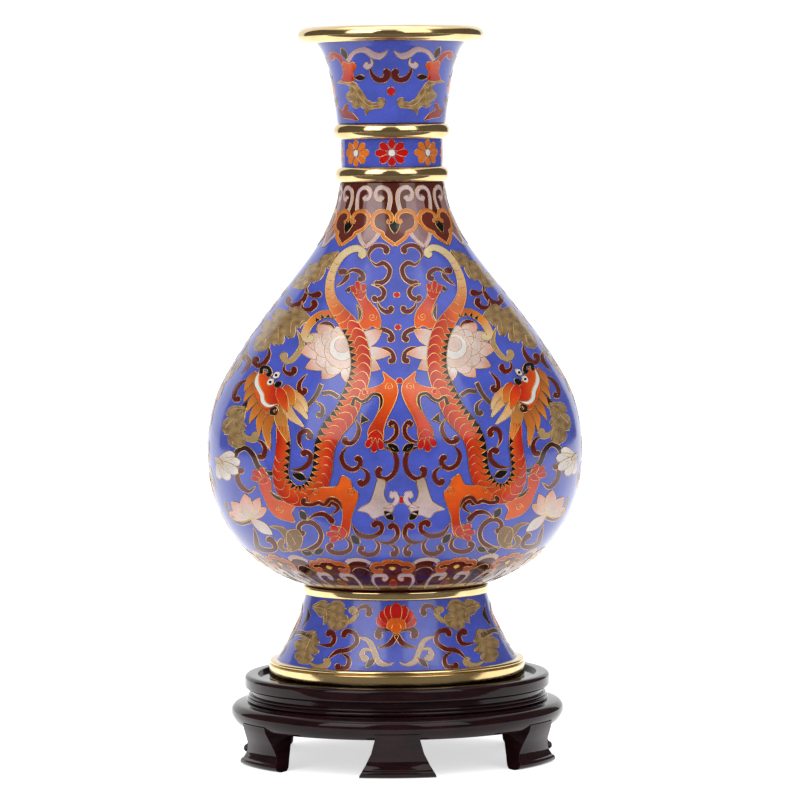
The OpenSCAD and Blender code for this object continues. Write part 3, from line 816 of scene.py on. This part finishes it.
LEFT_SCROLLS = [                 # knots of the maroon scrolls, from the stem to the curl
    [(-9.6, 160.4), (-10.3, 162.6), (-8.6, 165.4), (-5.6, 166.2), (-3.2, 164.8), (-4.2, 163)],
    [(-9.8, 160.6), (-7.4, 158.6), (-4.6, 159.4), (-2.4, 157), (-3.4, 153.4), (-6.2, 151.6), (-8.6, 151.6)],
    [(-9.6, 151.2), (-6.4, 150.4), (-4.8, 148.2), (-6, 145.8), (-8.4, 145.4), (-8.6, 147)],
    [(-7.6, 145), (-6.8, 142.4), (-4.4, 140.6), (-2.4, 141.4), (-3, 142.8)],
    [(-23, 150.4), (-20.2, 152.4), (-18.6, 154.8), (-20, 156.4), (-21.8, 155.4)],
    [(-19.6, 154.8), (-16.6, 156.8), (-13.4, 155.8), (-12.8, 153.6), (-14.8, 153.2)],
    [(-34.4, 151.4), (-34.2, 148.2), (-36.4, 144.6), (-39.6, 143.4), (-41.2, 145), (-40.2, 146.8)],
    [(-34.6, 148.6), (-32, 147.2), (-28.6, 148)],
    [(-36, 145), (-35.8, 142.2), (-33.2, 141.8), (-31.2, 143.8), (-32.4, 145.2)],
    [(-24, 133.4), (-25.2, 135.8), (-27.6, 136.4), (-29.6, 135), (-30, 133)],
    [(-12.4, 129.8), (-9.6, 132.6), (-6.2, 133.8), (-2.9, 132.4), (-2.4, 130.2), (-4.3, 129.8)],
    [(-8.6, 126), (-5, 126.4), (-2.4, 124.4), (-2.3, 121.8), (-4.2, 121.8)],
    [(-49.4, 128), (-49, 125), (-51.2, 121.2), (-53.6, 120.4), (-54.6, 122.2), (-52.8, 123.4)],
    [(-43.4, 121.4), (-43.8, 118.4), (-41.6, 117), (-40, 118.4), (-40.8, 119.8)],
    [(-60, 117), (-57.6, 119.6), (-56.4, 122.4), (-58.2, 124), (-60, 122.6)],
    [(-35.2, 117), (-38, 113.8), (-38.4, 110.8), (-36.8, 109.8), (-36.2, 111.8)],
    [(-56.4, 115.4), (-60.2, 113.6), (-62.4, 110.2), (-62, 107.6), (-60.4, 108.4)],
    [(-37.3, 87.6), (-38.9, 90.9), (-38.1, 94.3), (-35.9, 95.1), (-34.6, 93.4), (-36, 92.3)],
    [(-42.3, 80), (-37.8, 80.5), (-35, 83.1), (-34.7, 85.9), (-36.6, 86.8), (-37.8, 85.4)],
    [(-17.6, 99.4), (-16, 96), (-16.8, 92.4), (-19.2, 90), (-21.6, 90.8), (-20.8, 92.4)],
    [(-20.6, 89), (-22.8, 85.2), (-21.6, 81.4), (-18.4, 79.8), (-15.8, 81.6), (-16.2, 84), (-17.8, 83.8)],
    [(-15.8, 80.8), (-13.2, 78.8), (-13, 76), (-15, 74.2), (-16.4, 75.8)],
    [(-8, 90.2), (-4.4, 90.6), (-1.8, 93), (-1.7, 96.2), (-3.4, 97.8), (-4, 96)],
    [(-7.4, 88.4), (-3.2, 87), (-1.6, 82.6), (-2.8, 78.2), (-5.8, 76), (-8.4, 76.8), (-8.9, 79.4), (-7.2, 79.8)],
    [(-39, 49), (-35.4, 49.2), (-31.6, 51.4), (-30.6, 55), (-32.8, 58.8), (-36.4, 60), (-39, 58.4), (-38.6, 55.6),
     (-36.6, 55.8)],
    [(-36, 60.4), (-33, 62.6), (-29.2, 62.6), (-25.8, 59.4)],
    [(-27, 62.4), (-24.2, 65), (-25.6, 67), (-27.8, 66.9), (-27.6, 65.4)],
    [(-22, 53.9), (-19.8, 52), (-19.6, 49.2), (-22.8, 47.6), (-26.8, 48.4), (-27.8, 50.2), (-25.8, 50.8)],
    [(-19, 58.8), (-16.4, 55), (-12, 53.8), (-8, 55.6), (-7.6, 58.4), (-9.8, 59.2), (-10.8, 57.4)],
    [(-10.6, 53), (-8.6, 50.6), (-9.6, 47.6), (-13, 46.9), (-15.8, 48.6), (-14.2, 50)],
    [(-8.6, 51.8), (-4.4, 51.4), (-1.6, 53.8), (-1.7, 57), (-3.4, 58.2), (-4.9, 56.8)],
    [(-4.4, 51), (-1.8, 49.2), (-2, 47.2), (-4.2, 47.4)],
    [(-56, 58), (-55, 54), (-54, 50.4), (-50.2, 49), (-47.6, 49.8), (-49, 52.8), (-51.2, 53.8)],
    [(-55.6, 92.2), (-52.8, 90.8), (-51.6, 88), (-52.8, 85.2), (-54.4, 86)],
    [(-55.2, 74.2), (-57.8, 72), (-60.6, 74), (-62, 77.4), (-61.4, 80.2), (-59.6, 79.4)],
]
LEFT_STEMS = [                   # (knots, width, tint) of the plain stems
    ([(-63.4, 84.6), (-61.8, 87.6), (-59, 88.8), (-56.4, 86.4), (-54.4, 81.8), (-52, 79.8)], 1.9, DARK),
    ([(-53.4, 79.4), (-50, 78.8), (-47, 79)], 1.8, DARK),
    ([(-62, 102.8), (-59.4, 104.6), (-57.4, 106.4)], 1.6, DARK),
    ([(-30, 113), (-31.8, 109), (-35, 105.2), (-39, 102.6)], 1.7, TAUPE),
    ([(-29.6, 109.4), (-26.6, 109.7), (-23.6, 107.9)], 1.7, TAUPE),
    ([(-66.4, 68), (-64.8, 63), (-60.6, 59.6), (-57, 60.3)], 1.3, TAUPE),
]


def belly_quarter(name, turn, side):
    """Half of one dragon panel; side 1 draws it to the left of the centre line and -1 mirrors it."""
    bench = Bench(name, "blue_enamel")
    pen = Pen(bench, BODY, seen_from_front(BODY, turn, side), 2)
    for knots in LEFT_SCROLLS:
        pen.scroll(knots, layer=-1)
    for knots, width, tint in LEFT_STEMS:
        pen.band(knots, width, "flat", "flat", tint, -1)
    pen.scroll([(-32.4, 106.6), (-29.8, 104.2), (-30.2, 101), (-32.2, 101.6)], TAUPE, 1.7, layer=-1)
    for base, tip, width in (
            ((-5.2, 89.6), (-0.6, 86.6), 3), ((-41.6, 78.6), (-36.2, 76.4), 3), ((-38.8, 64.4), (-36.2, 60.6), 2.8),
            ((-19.4, 54.6), (-15.8, 51), 2.8), ((-6.6, 63.8), (-3, 60.2), 2.8), ((-38, 48.6), (-33.6, 47.4), 2.6),
            ((-33.4, 47.8), (-29.4, 49), 2.6)):
        pen.petal(base, tip, width, BLACK)
    pen.leaf([(-33.4, 138.4), (-38, 138.8), (-44, 136), (-49.6, 131.4), (-54.4, 126.6)], (2, 9, 13, 10, 3), 4)
    pen.scroll([(-38.4, 134), (-36.8, 128.6), (-38.8, 124.6), (-42, 121.8), (-44, 123.6), (-42.6, 125)], KHAKI, 2)
    pen.leaf([(-21.6, 163.8), (-26, 160.4), (-31, 156), (-36, 152.4), (-40, 151.4)], (1.8, 5, 7, 6, 2), 3)
    pen.leaf([(-58.6, 104.4), (-62, 101.6), (-63, 97.4), (-62.2, 93), (-60.6, 89.2)], (2, 8, 9, 8, 4), 3)
    pen.scroll([(-60.6, 96), (-58.4, 92.6), (-55.4, 92.4), (-55.2, 95)], KHAKI, 2.2)
    palmette(pen, -69.4, 84, -122, 0.84, WHITE)
    bud(pen, -57.8, 61.2, 8, 1.0)
    pen.petal((-57, 61.4), (-49, 55.2), 3.6, fading((-57, 61), (-49, 55), PEACH, WHITE))
    pen.band([(-50, 58.4), (-46, 57.4), (-43, 54), (-41.4, 50.8)], 2.6, "point", "flat", SAND)
    pen.blob([(-43.4, 56.2), (-39.6, 57), (-37.6, 53.4), (-38.8, 49.6), (-42.6, 48.6), (-43.4, 51)], SAND)
    pen.scroll([(-41.4, 49.4), (-44.6, 49.2), (-46, 51.8), (-44.4, 53)], SAND, 1.8)
    beige = [(-8.8, 76.2), (-6, 75), (-6.6, 70.4), (-5.2, 67), (-2.8, 65.4), (-4.4, 62.6), (-8, 61.8), (-10.8, 60.8),
        (-13, 63), (-16.8, 64.2), (-14, 66), (-12, 67.6), (-10.4, 72)]
    pen.blob(beige, fading((-8, 76), (-9, 61), BEIGE, LILAC))
    pen.scroll([(-7, 64.8), (-3.6, 65.8), (-1.6, 68.2), (-2.8, 70), (-4.4, 69)], LILAC, 2)
    lotus(pen.moved(layer=2))
    leg_1(pen.moved(layer=3))
    leg_4(pen.moved(layer=2))
    dragon_body(pen.moved(layer=4))
    leg_2(pen.moved(layer=4))
    leg_3(pen.moved(layer=4))
    head(pen.moved(layer=3))
    bench.make()


CENTRE = math.radians(1.9)       # the dragons' centre line stands a little to the right of the front
for name, turn, side in (("front_left", 0, 1), ("front_right", 0, -1), ("back_right", math.pi, 1),
                         ("back_left", math.pi, -1)):
    belly_quarter("belly_" + name, CENTRE + turn, side)

dots = Bench("belly_dots", "blue_enamel")
for turn in (0, math.pi):
    for z in (148.6, 136.8, 117.4, 73.6):
        Pen(dots, BODY, around(BODY, CENTRE + turn, z), 1).dot(0, 0, 1.3, RED)
dots.make()


PEONY_Z, RUYI_Z, ARCH_Z, DAISY_Z = 112, 166.8, 166.2, 201.7      # heights above the vase's foot


def side_panel(name, turn):
    """The narrow panel between two dragon panels: a peony over a bud, with scrolls and leaves."""
    bench = Bench(name, "blue_enamel")
    middle = Pen(bench, BODY, around(BODY, turn, PEONY_Z), 1)
    for p in middle.sides():
        for knots in ([(1, 19), (4.4, 22), (8.6, 20.6), (9.4, 16.6), (6.8, 16)], [(1, 27), (4.6, 26), (7, 29.4),
                (5, 32.6), (2.6, 31)], [(0.8, 37), (3.6, 39.6), (6.4, 37.6), (5.4, 35.2)], [(0.8, 43), (3, 46),
                (6, 44.6), (5.6, 42.2)], [(1, -15), (5, -17.4), (9, -14.6), (9, -10.6), (6.4, -10)], [(1, -20),
                (4.8, -22.8), (9.6, -21.4), (11.2, -25.4), (8.6, -28), (6.6, -26)], [(1.2, -52), (5.4, -49),
                (9.4, -51.4), (8.6, -55), (6, -54.4)], [(2.4, -62), (6.4, -60), (9.6, -63), (7.6, -66),
                (5.4, -64.6)]):
            p.scroll(knots)
        p.leaf([(10.4, 4), (14, 8), (15.4, 13), (14.6, 18.4)], (2, 6.6, 7, 2.4), 3)
        p.leaf([(3, -34), (8, -32.6), (13, -34.6), (16, -39)], (2, 6, 7, 2.4), 3)
        p.petal((1, 22.4), (3.6, 25.4), 2.2, BLACK)
        p.petal((1, -46.6), (4.6, -45), 2.2, BLACK)
    f = middle.moved(0, 2, layer=1)
    for ring, (count, reach, width) in enumerate(((10, 13.4, 7), (8, 9.6, 6.6), (6, 6, 5.6))):
        for k in range(count):
            tip = polar(TAU * (k + ring / 2) / count + math.pi / 2, reach)
            f.petal((0, 0), tip, width, fading((0, 0), tip, WHITE, PEACH if ring else ROSE), ring, 0.66, sharp=not ring)
    f.dot(0, 0, 2, YELLOW, 3)
    bud(middle.moved(layer=1), 0, -44, 0, 1.1, SCARLET, ORANGE)
    middle.dot(0, 34, 1.3, RED)
    bench.make()


side_panel("belly_right", CENTRE + math.pi / 2)
side_panel("belly_left", CENTRE - math.pi / 2)

# ---- the shoulder: eight ruyi heads under pale arches ----

RUYI = [(0, 0), (2.3, 1.9), (4.4, 3.9), (4.7, 5.4), (7.4, 7), (8.6, 9.8), (7.7, 12.9), (5, 14.4), (2.2, 13.8),
    (0.9, 11.8), (1.5, 10.1), (2.9, 10.4)]
RUYI_FILL = [(0, 0.8), (4.3, 4.4), (4.8, 5.9), (7.4, 7.6), (8.4, 10), (7.4, 12.6), (5, 14), (3, 13.4), (1.2, 12)]


def band_cell(pen, turn_share, low, high, tint, layer=0):
    """A plain piece of ground: one sector of a band, between two heights above the pen's own."""
    widths = [float(pen.face.radius(pen.place(np.array([[0.0, v]]))[1][0])) * turn_share * math.pi for v in (low,
        high)]
    pen.cell([(-widths[0], low), (widths[0], low), (widths[1], high), (-widths[1], high)], tint, layer, 0)


def ruyi_sector(pen):
    """A cloud-shaped ruyi head with a bud in it, on a strip of blue."""
    band_cell(pen, 1 / 8, 0.6, 5.6, BLUE)
    for p in pen.sides(3):
        p.cell(RUYI_FILL + [(0, 12)], rgb(104, 40, 32), wire=0)
        p.band(RUYI, 1.45, "flat", "bulb", fading_pair(rgb(214, 106, 26), rgb(226, 138, 58)), 1)
    pen.petal((0, 11.6), (0, 4.8), 4.2, BLACK, 4, 0.36)


def fading_pair(a, b):
    """A tint for a strip, from a at its right edge to b at its left."""
    return lambda t, across: mix(a, b, 0.5 + 0.5 * across)


def arch_sector(pen):
    """The pale lappet and its pair of curls, between two ruyi heads."""
    panel_edge = [(0, 1.2), (2.2, 3.6), (3.6, 6.4), (4, 10), (3.9, 17), (3.6, 21.4), (0.4, 22)]
    pen.cell(panel_edge + [(-x, y) for x, y in panel_edge[::-1] if x], rgb(150, 112, 114), 1, 0)
    for p in pen.sides(2):
        p.band([(0, 0), (1.8, 1.9), (3.4, 4.4), (4.2, 6.6)], 1.5, "flat", "flat", LILAC, 0)
        p.band([(6.2, 14), (6.7, 17.4), (6.8, 20.2), (6.1, 22.8), (4.2, 24.2), (2.1, 24), (1, 22.2), (1.6, 20.2),
            (3.1, 19.8), (3.8, 21)], 1.5, "flat", "bulb", LILAC, 0)


shoulder = Bench("shoulder", "maroon_enamel")
for k in range(8):
    ruyi_sector(Pen(shoulder, BODY, around(BODY, CENTRE + TAU * k / 8, RUYI_Z), 1))
    arch_sector(Pen(shoulder, BODY, around(BODY, CENTRE + TAU * (k + 0.5) / 8, ARCH_Z), 1))
shoulder.make()

# ---- the lappet band above the waist: fourteen cloud heads ----

CLOUD = [(0, 44.3), (2.6, 44.1), (3.8, 43.3), (5.4, 43.4), (7.3, 42.8), (8, 41.6), (7.2, 40.6), (5.1, 40.3),
    (3.7, 40.9)]
SCALLOP = [(0, 44.3), (2.6, 44.1), (3.8, 43.3), (5.4, 43.4), (7.3, 42.9), (8.6, 40), (0, 40)]
HEADS = 14
lappets = Bench("lappet", "maroon_enamel")
for k in range(HEADS):
    # each sector is drawn as it is seen straight on
    pen = Pen(lappets, BODY, seen_from_front(BODY, TAU * (k - 0.05) / HEADS), 1)
    between = Pen(lappets, BODY, seen_from_front(BODY, TAU * (k + 0.45) / HEADS), 1)
    crown = [(-4.8, 43.4), (-3.2, 44.4), (0, 44.9), (3.2, 44.4), (4.8, 43.4)]
    between.cell(crown + [(5.2, 40), (-5.2, 40)], rgb(88, 24, 20), wire=0)
    between.cell([(-3.6, 40.2), (-2, 41.4), (0, 41.8), (2, 41.4), (3.6, 40.2), (2.4, 37), (0, 34.6), (-2.4, 37)],
        rgb(64, 18, 18), 1)
    between.band(crown, 1.3, "flat", "flat", LILAC, 1)
    for p in pen.sides(1):
        p.cell(SCALLOP, rgb(98, 28, 20), wire=0)
        p.band(CLOUD, 1.45, "flat", "bulb", fading_pair(rgb(178, 70, 28), rgb(200, 96, 44)), 2)
        p.band([(5.6, 33.6), (7.6, 36.2), (7.6, 38.2), (6, 38.9), (3.6, 38.8), (2.3, 38), (3, 37.3), (4.2, 37.6)],
            1.3, "point", "bulb", LILAC, 1)
    pen.blob([(-1.3, 41.5), (0, 42.2), (1.3, 41.5), (0, 40.8)], YELLOW, 3)
    pen.blob([(0, 37), (-1.3, 35.8), (-0.6, 33.6), (0.6, 33.6), (1.3, 35.8)], rgb(150, 48, 22), 1)
lappets.make()

# ---- the neck ----

ACANTHUS = [(-20.9, 228.6), (-18.6, 229.9), (-15.8, 229.8), (-13.2, 228.2), (-11, 225), (-9, 222), (-6.8, 220.8),
    (-5, 221.3), (-4.8, 222.8), (-2.9, 222.6), (-2.1, 220.6), (-3.6, 218.8), (-6.6, 218.7), (-8.2, 218),
    (-9.9, 216.2), (-10.4, 218.6), (-12, 219.6), (-13.6, 218.8), (-15, 219.8), (-15.2, 221.4), (-16.4, 221.8),
    (-17.6, 223.6), (-16.4, 225.2), (-15.8, 227.2), (-17.6, 228.4)]


def neck_quarter(turn, side):
    """Half of the neck's front or back: a ribbon, a flame and an acanthus leaf."""
    pen = Pen(neck_bench, NECK, seen_from_front(NECK, turn, side), 1)
    pen.band([(-16.6, 237), (-14, 240.2, 1.4), (-10.2, 241.2, 2), (-6.6, 239.2, 2.6), (-3.8, 238.8, 2.6),
        (-0.9, 241, 1.6)], 1.4, "flat", "point", fading_pair(LILAC, rgb(180, 148, 160)))
    pen.scroll([(-7.6, 238.2), (-7.2, 235.8), (-9, 234.8), (-10, 236.2)], LILAC, 1.7, layer=1)
    pen.scroll([(-8, 235.2), (-7.3, 232), (-5, 229.7), (-2.2, 229.9), (-1.5, 232.2), (-3, 232.8)], MAROON, 2.2)
    pen.petal((-16.6, 237.4), (-19, 242.2), 2.2, DARK)
    pen.petal((-14.2, 230.6), (-9.8, 230.6), 2.2, DARK)
    pen.blob([(-18.8, 229.4), (-14.2, 229.4), (-14.4, 232.6), (-13.2, 235), (-14.6, 236.6), (-16.4, 236.2),
        (-18, 237), (-18.8, 235.4), (-18.2, 232.6)], fading((-16, 230), (-16, 237), SCARLET, ORANGE), 1)
    pen.scroll([(-17.6, 233), (-18.6, 236.6), (-20.6, 239.2), (-22.6, 239.6), (-22.4, 237.4)], SCARLET, 1.7)
    pen.cell(ACANTHUS, mottled)
    pen.line([(-18, 229.3), (-14.4, 227), (-11.6, 222.6), (-8.6, 219.8), (-5.6, 219.8)], width=0.28, curved=True)
    for stop in ((-16.4, 223.8), (-14.2, 220.6), (-11.4, 220)):
        pen.line([(-13.6, 226.2), ((stop[0] - 13.2) / 2, (stop[1] + 225.2) / 2), stop], width=0.26)
    pen.cell([(-20.4, 219), (-18.6, 218.2), (-17.8, 220.4), (-16.4, 220.8), (-16.8, 218), (-14.6, 216.8),
        (-12.2, 213.9), (-15.6, 214.8), (-18.4, 215.2), (-19.6, 216.8)], rgb(150, 44, 30))


neck_bench = Bench("neck", "blue_enamel")
for turn in (0, math.pi):
    for side in (1, -1):
        neck_quarter(turn, side)
    Pen(neck_bench, NECK, around(NECK, turn, 225), 1).dot(0, 0, 1.6, RED)
    flower = Pen(neck_bench, NECK, around(NECK, turn + math.pi / 2, 228), 1)
    bud(flower, 0, -4, 0, 0.92, SCARLET, ORANGE)
    flower.dot(0, 9.6, 1.3, RED)
    for p in flower.sides():
        p.scroll([(0.6, -5), (3.4, -8), (6, -7), (5.6, -4.6)], MAROON, 2)
        p.petal((2, 7.4), (5.6, 11), 2.2, DARK)
neck_bench.make()

# ---- the collar: eight daisies ----

daisies = Bench("collar", "blue_enamel")
for k in range(8):
    p = Pen(daisies, COLLAR, around(COLLAR, TAU * k / 8, DAISY_Z), 1)
    tint = (RED, rgb(226, 118, 34))[k % 2]
    for j in range(8):
        a = TAU * j / 8
        tip = (math.cos(a) * 6.5, math.sin(a) * 5)
        p.petal((math.cos(a) * 1.4, math.sin(a) * 1.3), tip, 2.9, tint, 0, 0.64, 0.2, False)
    p.dot(0, 0, 1.3, WHITE, 1, 0.24)
daisies.make()

# ---- the foot ----


def foot_quarter(turn, side):
    """Half of the foot's front or back: scrolls and two leaves."""
    pen = Pen(foot_bench, FOOT, seen_from_front(FOOT, turn, side), 1)
    pen.scroll([(0, 15.6), (-2.4, 17.6), (-5.8, 18), (-7.2, 16), (-5.8, 14.6)], MAROON, 2.2)
    pen.band([(0, 15.8), (-2.6, 12.2), (-7.6, 10.6)], 2.2, "flat", "point", MAROON)
    pen.band([(-14.8, 15), (-10.8, 13.4), (-8.8, 9.6), (-7, 5.4), (-3.4, 4), (-1.2, 5.2)], 2, "point", "point", BEIGE)
    pen.scroll([(-9.2, 9.8), (-12.6, 10), (-13.4, 7.2), (-11, 6.4)], BEIGE, 1.8)
    pen.petal((-8, 6.8), (-12.2, 3), 2.2, DARK)
    pen.scroll([(-27, 6), (-23.4, 9.2), (-18.6, 10.2), (-15.4, 13), (-16.2, 16.4), (-19.6, 17.2), (-20.6, 14.8)])
    pen.scroll([(-21.6, 9), (-18.6, 6.8), (-19.2, 3.4), (-22.6, 3), (-22.8, 4.8)])
    pen.leaf([(-32.4, 27), (-28.4, 26.2), (-24, 23.6), (-21.4, 18)], (1.8, 7, 12, 5), 3)
    pen.scroll([(-23.4, 22), (-19, 20.8), (-15.8, 23), (-16.6, 25.6), (-18, 24.6)], KHAKI, 2)
    pen.scroll([(-15.6, 23.4), (-14, 26.4), (-11, 26.6), (-10.4, 24.2), (-11.8, 23.6)], MAROON, 1.9)
    pen.leaf([(-31.4, 17.4), (-33.6, 14), (-35.4, 9.6), (-36.4, 4.8)], (2, 9, 10, 4), 3)
    pen.scroll([(-35, 6), (-30.6, 3.6), (-27, 4.6), (-27.4, 7)], KHAKI, 2)
    pen.scroll([(-30, 12.2), (-25.6, 12), (-24, 14.8), (-25.6, 16.8), (-27, 15.6)], MAROON, 1.9)
    pen.band([(-40.4, 16.8), (-37, 17), (-32.6, 15)], 1.8, "flat", "flat", TAUPE)
    pen.band([(-34.6, 27.4), (-34, 23.6), (-36.6, 18.8)], 1.9, "point", "point", DARK)


def foot_lotus(pen, outer, inner):
    """Seven petals fanned over a small calyx."""
    for k, a in enumerate((66, -66, 44, -44, 22, -22, 0)):
        tip = polar(math.radians(90 - a), 9.6 - abs(a) * 0.018)
        pen.petal((0, 0), tip, 4.4, fading((0, 0), tip, inner, outer), k // 2, 0.68, sharp=False)
    pen.blob([(-3.6, 0), (-2.8, 2.6), (0, 3.8), (2.8, 2.6), (3.6, 0), (1.6, -1.4), (0, -2.8), (-1.6, -1.4)], ORANGE,
        4)
    pen.line([(-1.8, -0.4), (-1.2, 1.4), (0, 2), (1.2, 1.4), (1.8, -0.4)], 4, 0.3, curved=True)


foot_bench = Bench("foot", "blue_enamel")
for turn in (0, math.pi):
    for side in (1, -1):
        foot_quarter(turn, side)
    foot_lotus(Pen(foot_bench, FOOT, around(FOOT, turn, 22.6), 2), RED, SCARLET)
    side_flower = Pen(foot_bench, FOOT, around(FOOT, turn + math.pi / 2, 18.6), 2)
    foot_lotus(side_flower.moved(scale=1.15), ORANGE, SCARLET)
    for p in side_flower.sides():
        p.scroll([(0.6, -3), (4, -5), (8, -3.4), (8.4, -0.4), (6, 0)])
        p.scroll([(0.8, -8.6), (4.6, -7), (8, -9), (6.6, -11), (4.8, -10)])
foot_bench.make()

# ---------------------------------------------------------------- gilt mounts, linings, stand

for node, steps in (("mouth_rim", 320), ("neck_ring_upper", 240), ("neck_ring_lower", 240), ("waist_ring", 300),
                    ("foot_ring", 320)):
    revolved("gilt_" + node, section(node), GILT, "vase", node, steps)
for node in ("neck_lining", "body_lining", "foot_lining", "base_enamel"):
    revolved(node + "_face", section(node), COUNTER_ENAMEL, "vase", node, 200)
for node in ("stand_tray", "stand_panel", "stand_waist"):
    revolved(node + "_turned", section(node), LACQUER, "stand", node)
APRON_Z, LEG_TOP = 14.4, 16.6    # the apron's underside, and where the legs end inside the apron
face = smooth([(61.7, APRON_Z), (62.6, 15.3), (63.6, 16.8), (64.2, 18.6), (63.9, 20.4), (62.4, 21.9), (59.4, 22.6)],
              0.35)
revolved("stand_apron_turned", [(50, APRON_Z)] + [tuple(p) for p in face] + [(50, 22.6)], LACQUER, "stand",
         "stand_apron")


def carved_leg(k):
    """A leg that runs down out of the apron's face, hollows to a neck and turns out in a stepped toe."""
    outer = smooth([(60.8, 0), (62.3, 0.3), (63, 1.2), (62.8, 2.4), (61.9, 3), (61.7, 3.5), (61.1, 4.8), (60.9, 6.8),
                    (61.3, 9.2), (62.3, 11.8), (63.3, APRON_Z), (63.8, LEG_TOP)], 0.4)
    middle = TAU * k / 6 - TAU / 4
    verts, m = [], 10
    for r, z in outer:
        z = max(z, 0)
        half = np.interp(z, (0, 1.2, 4.7, 9.1, APRON_Z, LEG_TOP), (14.7, 14.5, 12.2, 10, 8.6, 8.6))
        inner = 57 - 7.5 * (z / LEG_TOP) ** 0.8
        ring = [(r, u * half / r) for u in np.linspace(-1, 1, m)]
        ring += [(inner, u * half * 0.84 / inner) for u in np.linspace(1, -1, m)]
        verts += [(q * MM * math.cos(middle + a), q * MM * math.sin(middle + a), z * MM) for q, a in ring]
    n, rows = 2 * m, len(outer)
    faces = [(i * n + j, i * n + (j + 1) % n, (i + 1) * n + (j + 1) % n, (i + 1) * n + j)
             for i in range(rows - 1) for j in range(n)]
    faces += [tuple(range(n))[::-1], tuple(range((rows - 1) * n, rows * n))]
    obj = new_object(f"stand_leg_{k + 1}_carved", verts, faces, LACQUER, crease=40)
    soft = obj.modifiers.new("eased_edges", "BEVEL")
    soft.width, soft.segments, soft.limit_method, soft.angle_limit = 0.4 * MM, 2, "ANGLE", math.radians(40)
    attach(obj, "stand")
    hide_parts(f"stand_leg_{k + 1}")


for k in range(6):
    carved_leg(k)

FINISHES = {"lacquered_wood": LACQUER, "dowel_wood": DOWEL, "gilt_brass": GILT, "copper": COPPER,
            "blue_enamel": COUNTER_ENAMEL, "maroon_enamel": COUNTER_ENAMEL, "counter_enamel": COUNTER_ENAMEL}
for part in frame["record"]["subparts"]:
    obj = frame["nodes"][part["node"]]
    obj.data.materials.clear()
    obj.data.materials.append(FINISHES[part["material_slot"]])

# ---------------------------------------------------------------- studio

for name in ("neck", "collar", "shoulder", "belly", "lappet", "foot"):
    maroon = name in ("shoulder", "lappet")
    revolved(name + "_ground", section(name + "_enamel"), ENAMEL, "vase",
             name + "_enamel", tint=MAROON_GROUND if maroon else BLUE)


def panel(name, size, at, toward, strength=None):
    """A soft box, or with no strength a dark flag that only reflections see; neither shows in the picture itself."""
    direction = (Vector(toward) - Vector(at)).to_track_quat("-Z", "Y")
    if strength is not None:
        lamp = bpy.data.lights.new(name, "AREA")
        lamp.shape = "RECTANGLE"
        lamp.size, lamp.size_y = size
        lamp.energy = strength
        obj = bpy.data.objects.new(name, lamp)
        bpy.context.scene.collection.objects.link(obj)
    else:
        w, h = size[0] / 2, size[1] / 2
        s = Shader(name)
        s.put(Base_Color=s.blend(s.ramp(s.noise(300), 0, 1), (0.07, 0.06, 0.05), (0.1, 0.09, 0.08)), Roughness=1.0)
        obj = new_object(name, [(-w, -h, 0), (w, -h, 0), (w, h, 0), (-w, h, 0)], [(0, 1, 2, 3)], s.material)
        obj.visible_diffuse = obj.visible_shadow = False
    obj.location = at
    obj.rotation_euler = direction.to_euler()
    obj.visible_camera = False


LEFT, RIGHT = math.radians(-39), math.radians(34)     # where the soft boxes stand, seen from the vase
for name, angle, power in (("soft_box_left", LEFT, 16), ("soft_box_right", RIGHT, 11)):
    at = (1.5 * math.sin(angle), -1.5 * math.cos(angle), 1.15)
    panel(name, (1.1, 1.5), at, (0, 0, 0.3), power)
panel("top_box", (1.8, 1.6), (0, 0.3, 2.2), (0, 0, 0), 16)
for name, size, at in (("flag_front", (6.4, 3.6), (0, -3, 1.7)), ("flag_left", (5.4, 3.6), (-2.6, 0, 1.7)),
                       ("flag_right", (7.4, 3.6), (2.6, 1, 1.7))):
    panel(name, size, at, (0, at[1] if at[0] else 0, 1.7))
panel("flag_floor", (4, 2.9), (0, -1.56, 0.004), (0, -1.56, 1))

world = bpy.data.worlds.new("studio")
bpy.context.scene.world = world
world.use_nodes = True
world.node_tree.nodes["Background"].inputs["Color"].default_value = (1, 1, 1, 1)
world.node_tree.nodes["Background"].inputs["Strength"].default_value = 1.05

s = Shader("floor")
s.put(Base_Color=s.blend(s.ramp(s.noise(900), 0, 1), (0.62, 0.62, 0.63), (0.6, 0.6, 0.61)),
      Roughness=0.9, Specular_IOR_Level=0.0, Emission_Color=(1, 1, 1), Emission_Strength=0.62)
floor = new_object("floor", [(-40, -40, 0), (40, -40, 0), (40, 40, 0), (-40, 40, 0)], [(0, 1, 2, 3)], s.material)

camera = bpy.data.objects.new("camera", bpy.data.cameras.new("camera"))
bpy.context.scene.collection.objects.link(camera)
camera.data.lens = 205
camera.data.sensor_width = 36
camera.data.clip_end = 100
camera.location = (0.0032, -1.752, 0.24)
camera.rotation_mode = "XYZ"
camera.rotation_euler = (math.radians(90 - 3.33), math.radians(0.57), 0)
bpy.context.scene.camera = camera
bpy.context.scene.view_settings.view_transform = "Standard"
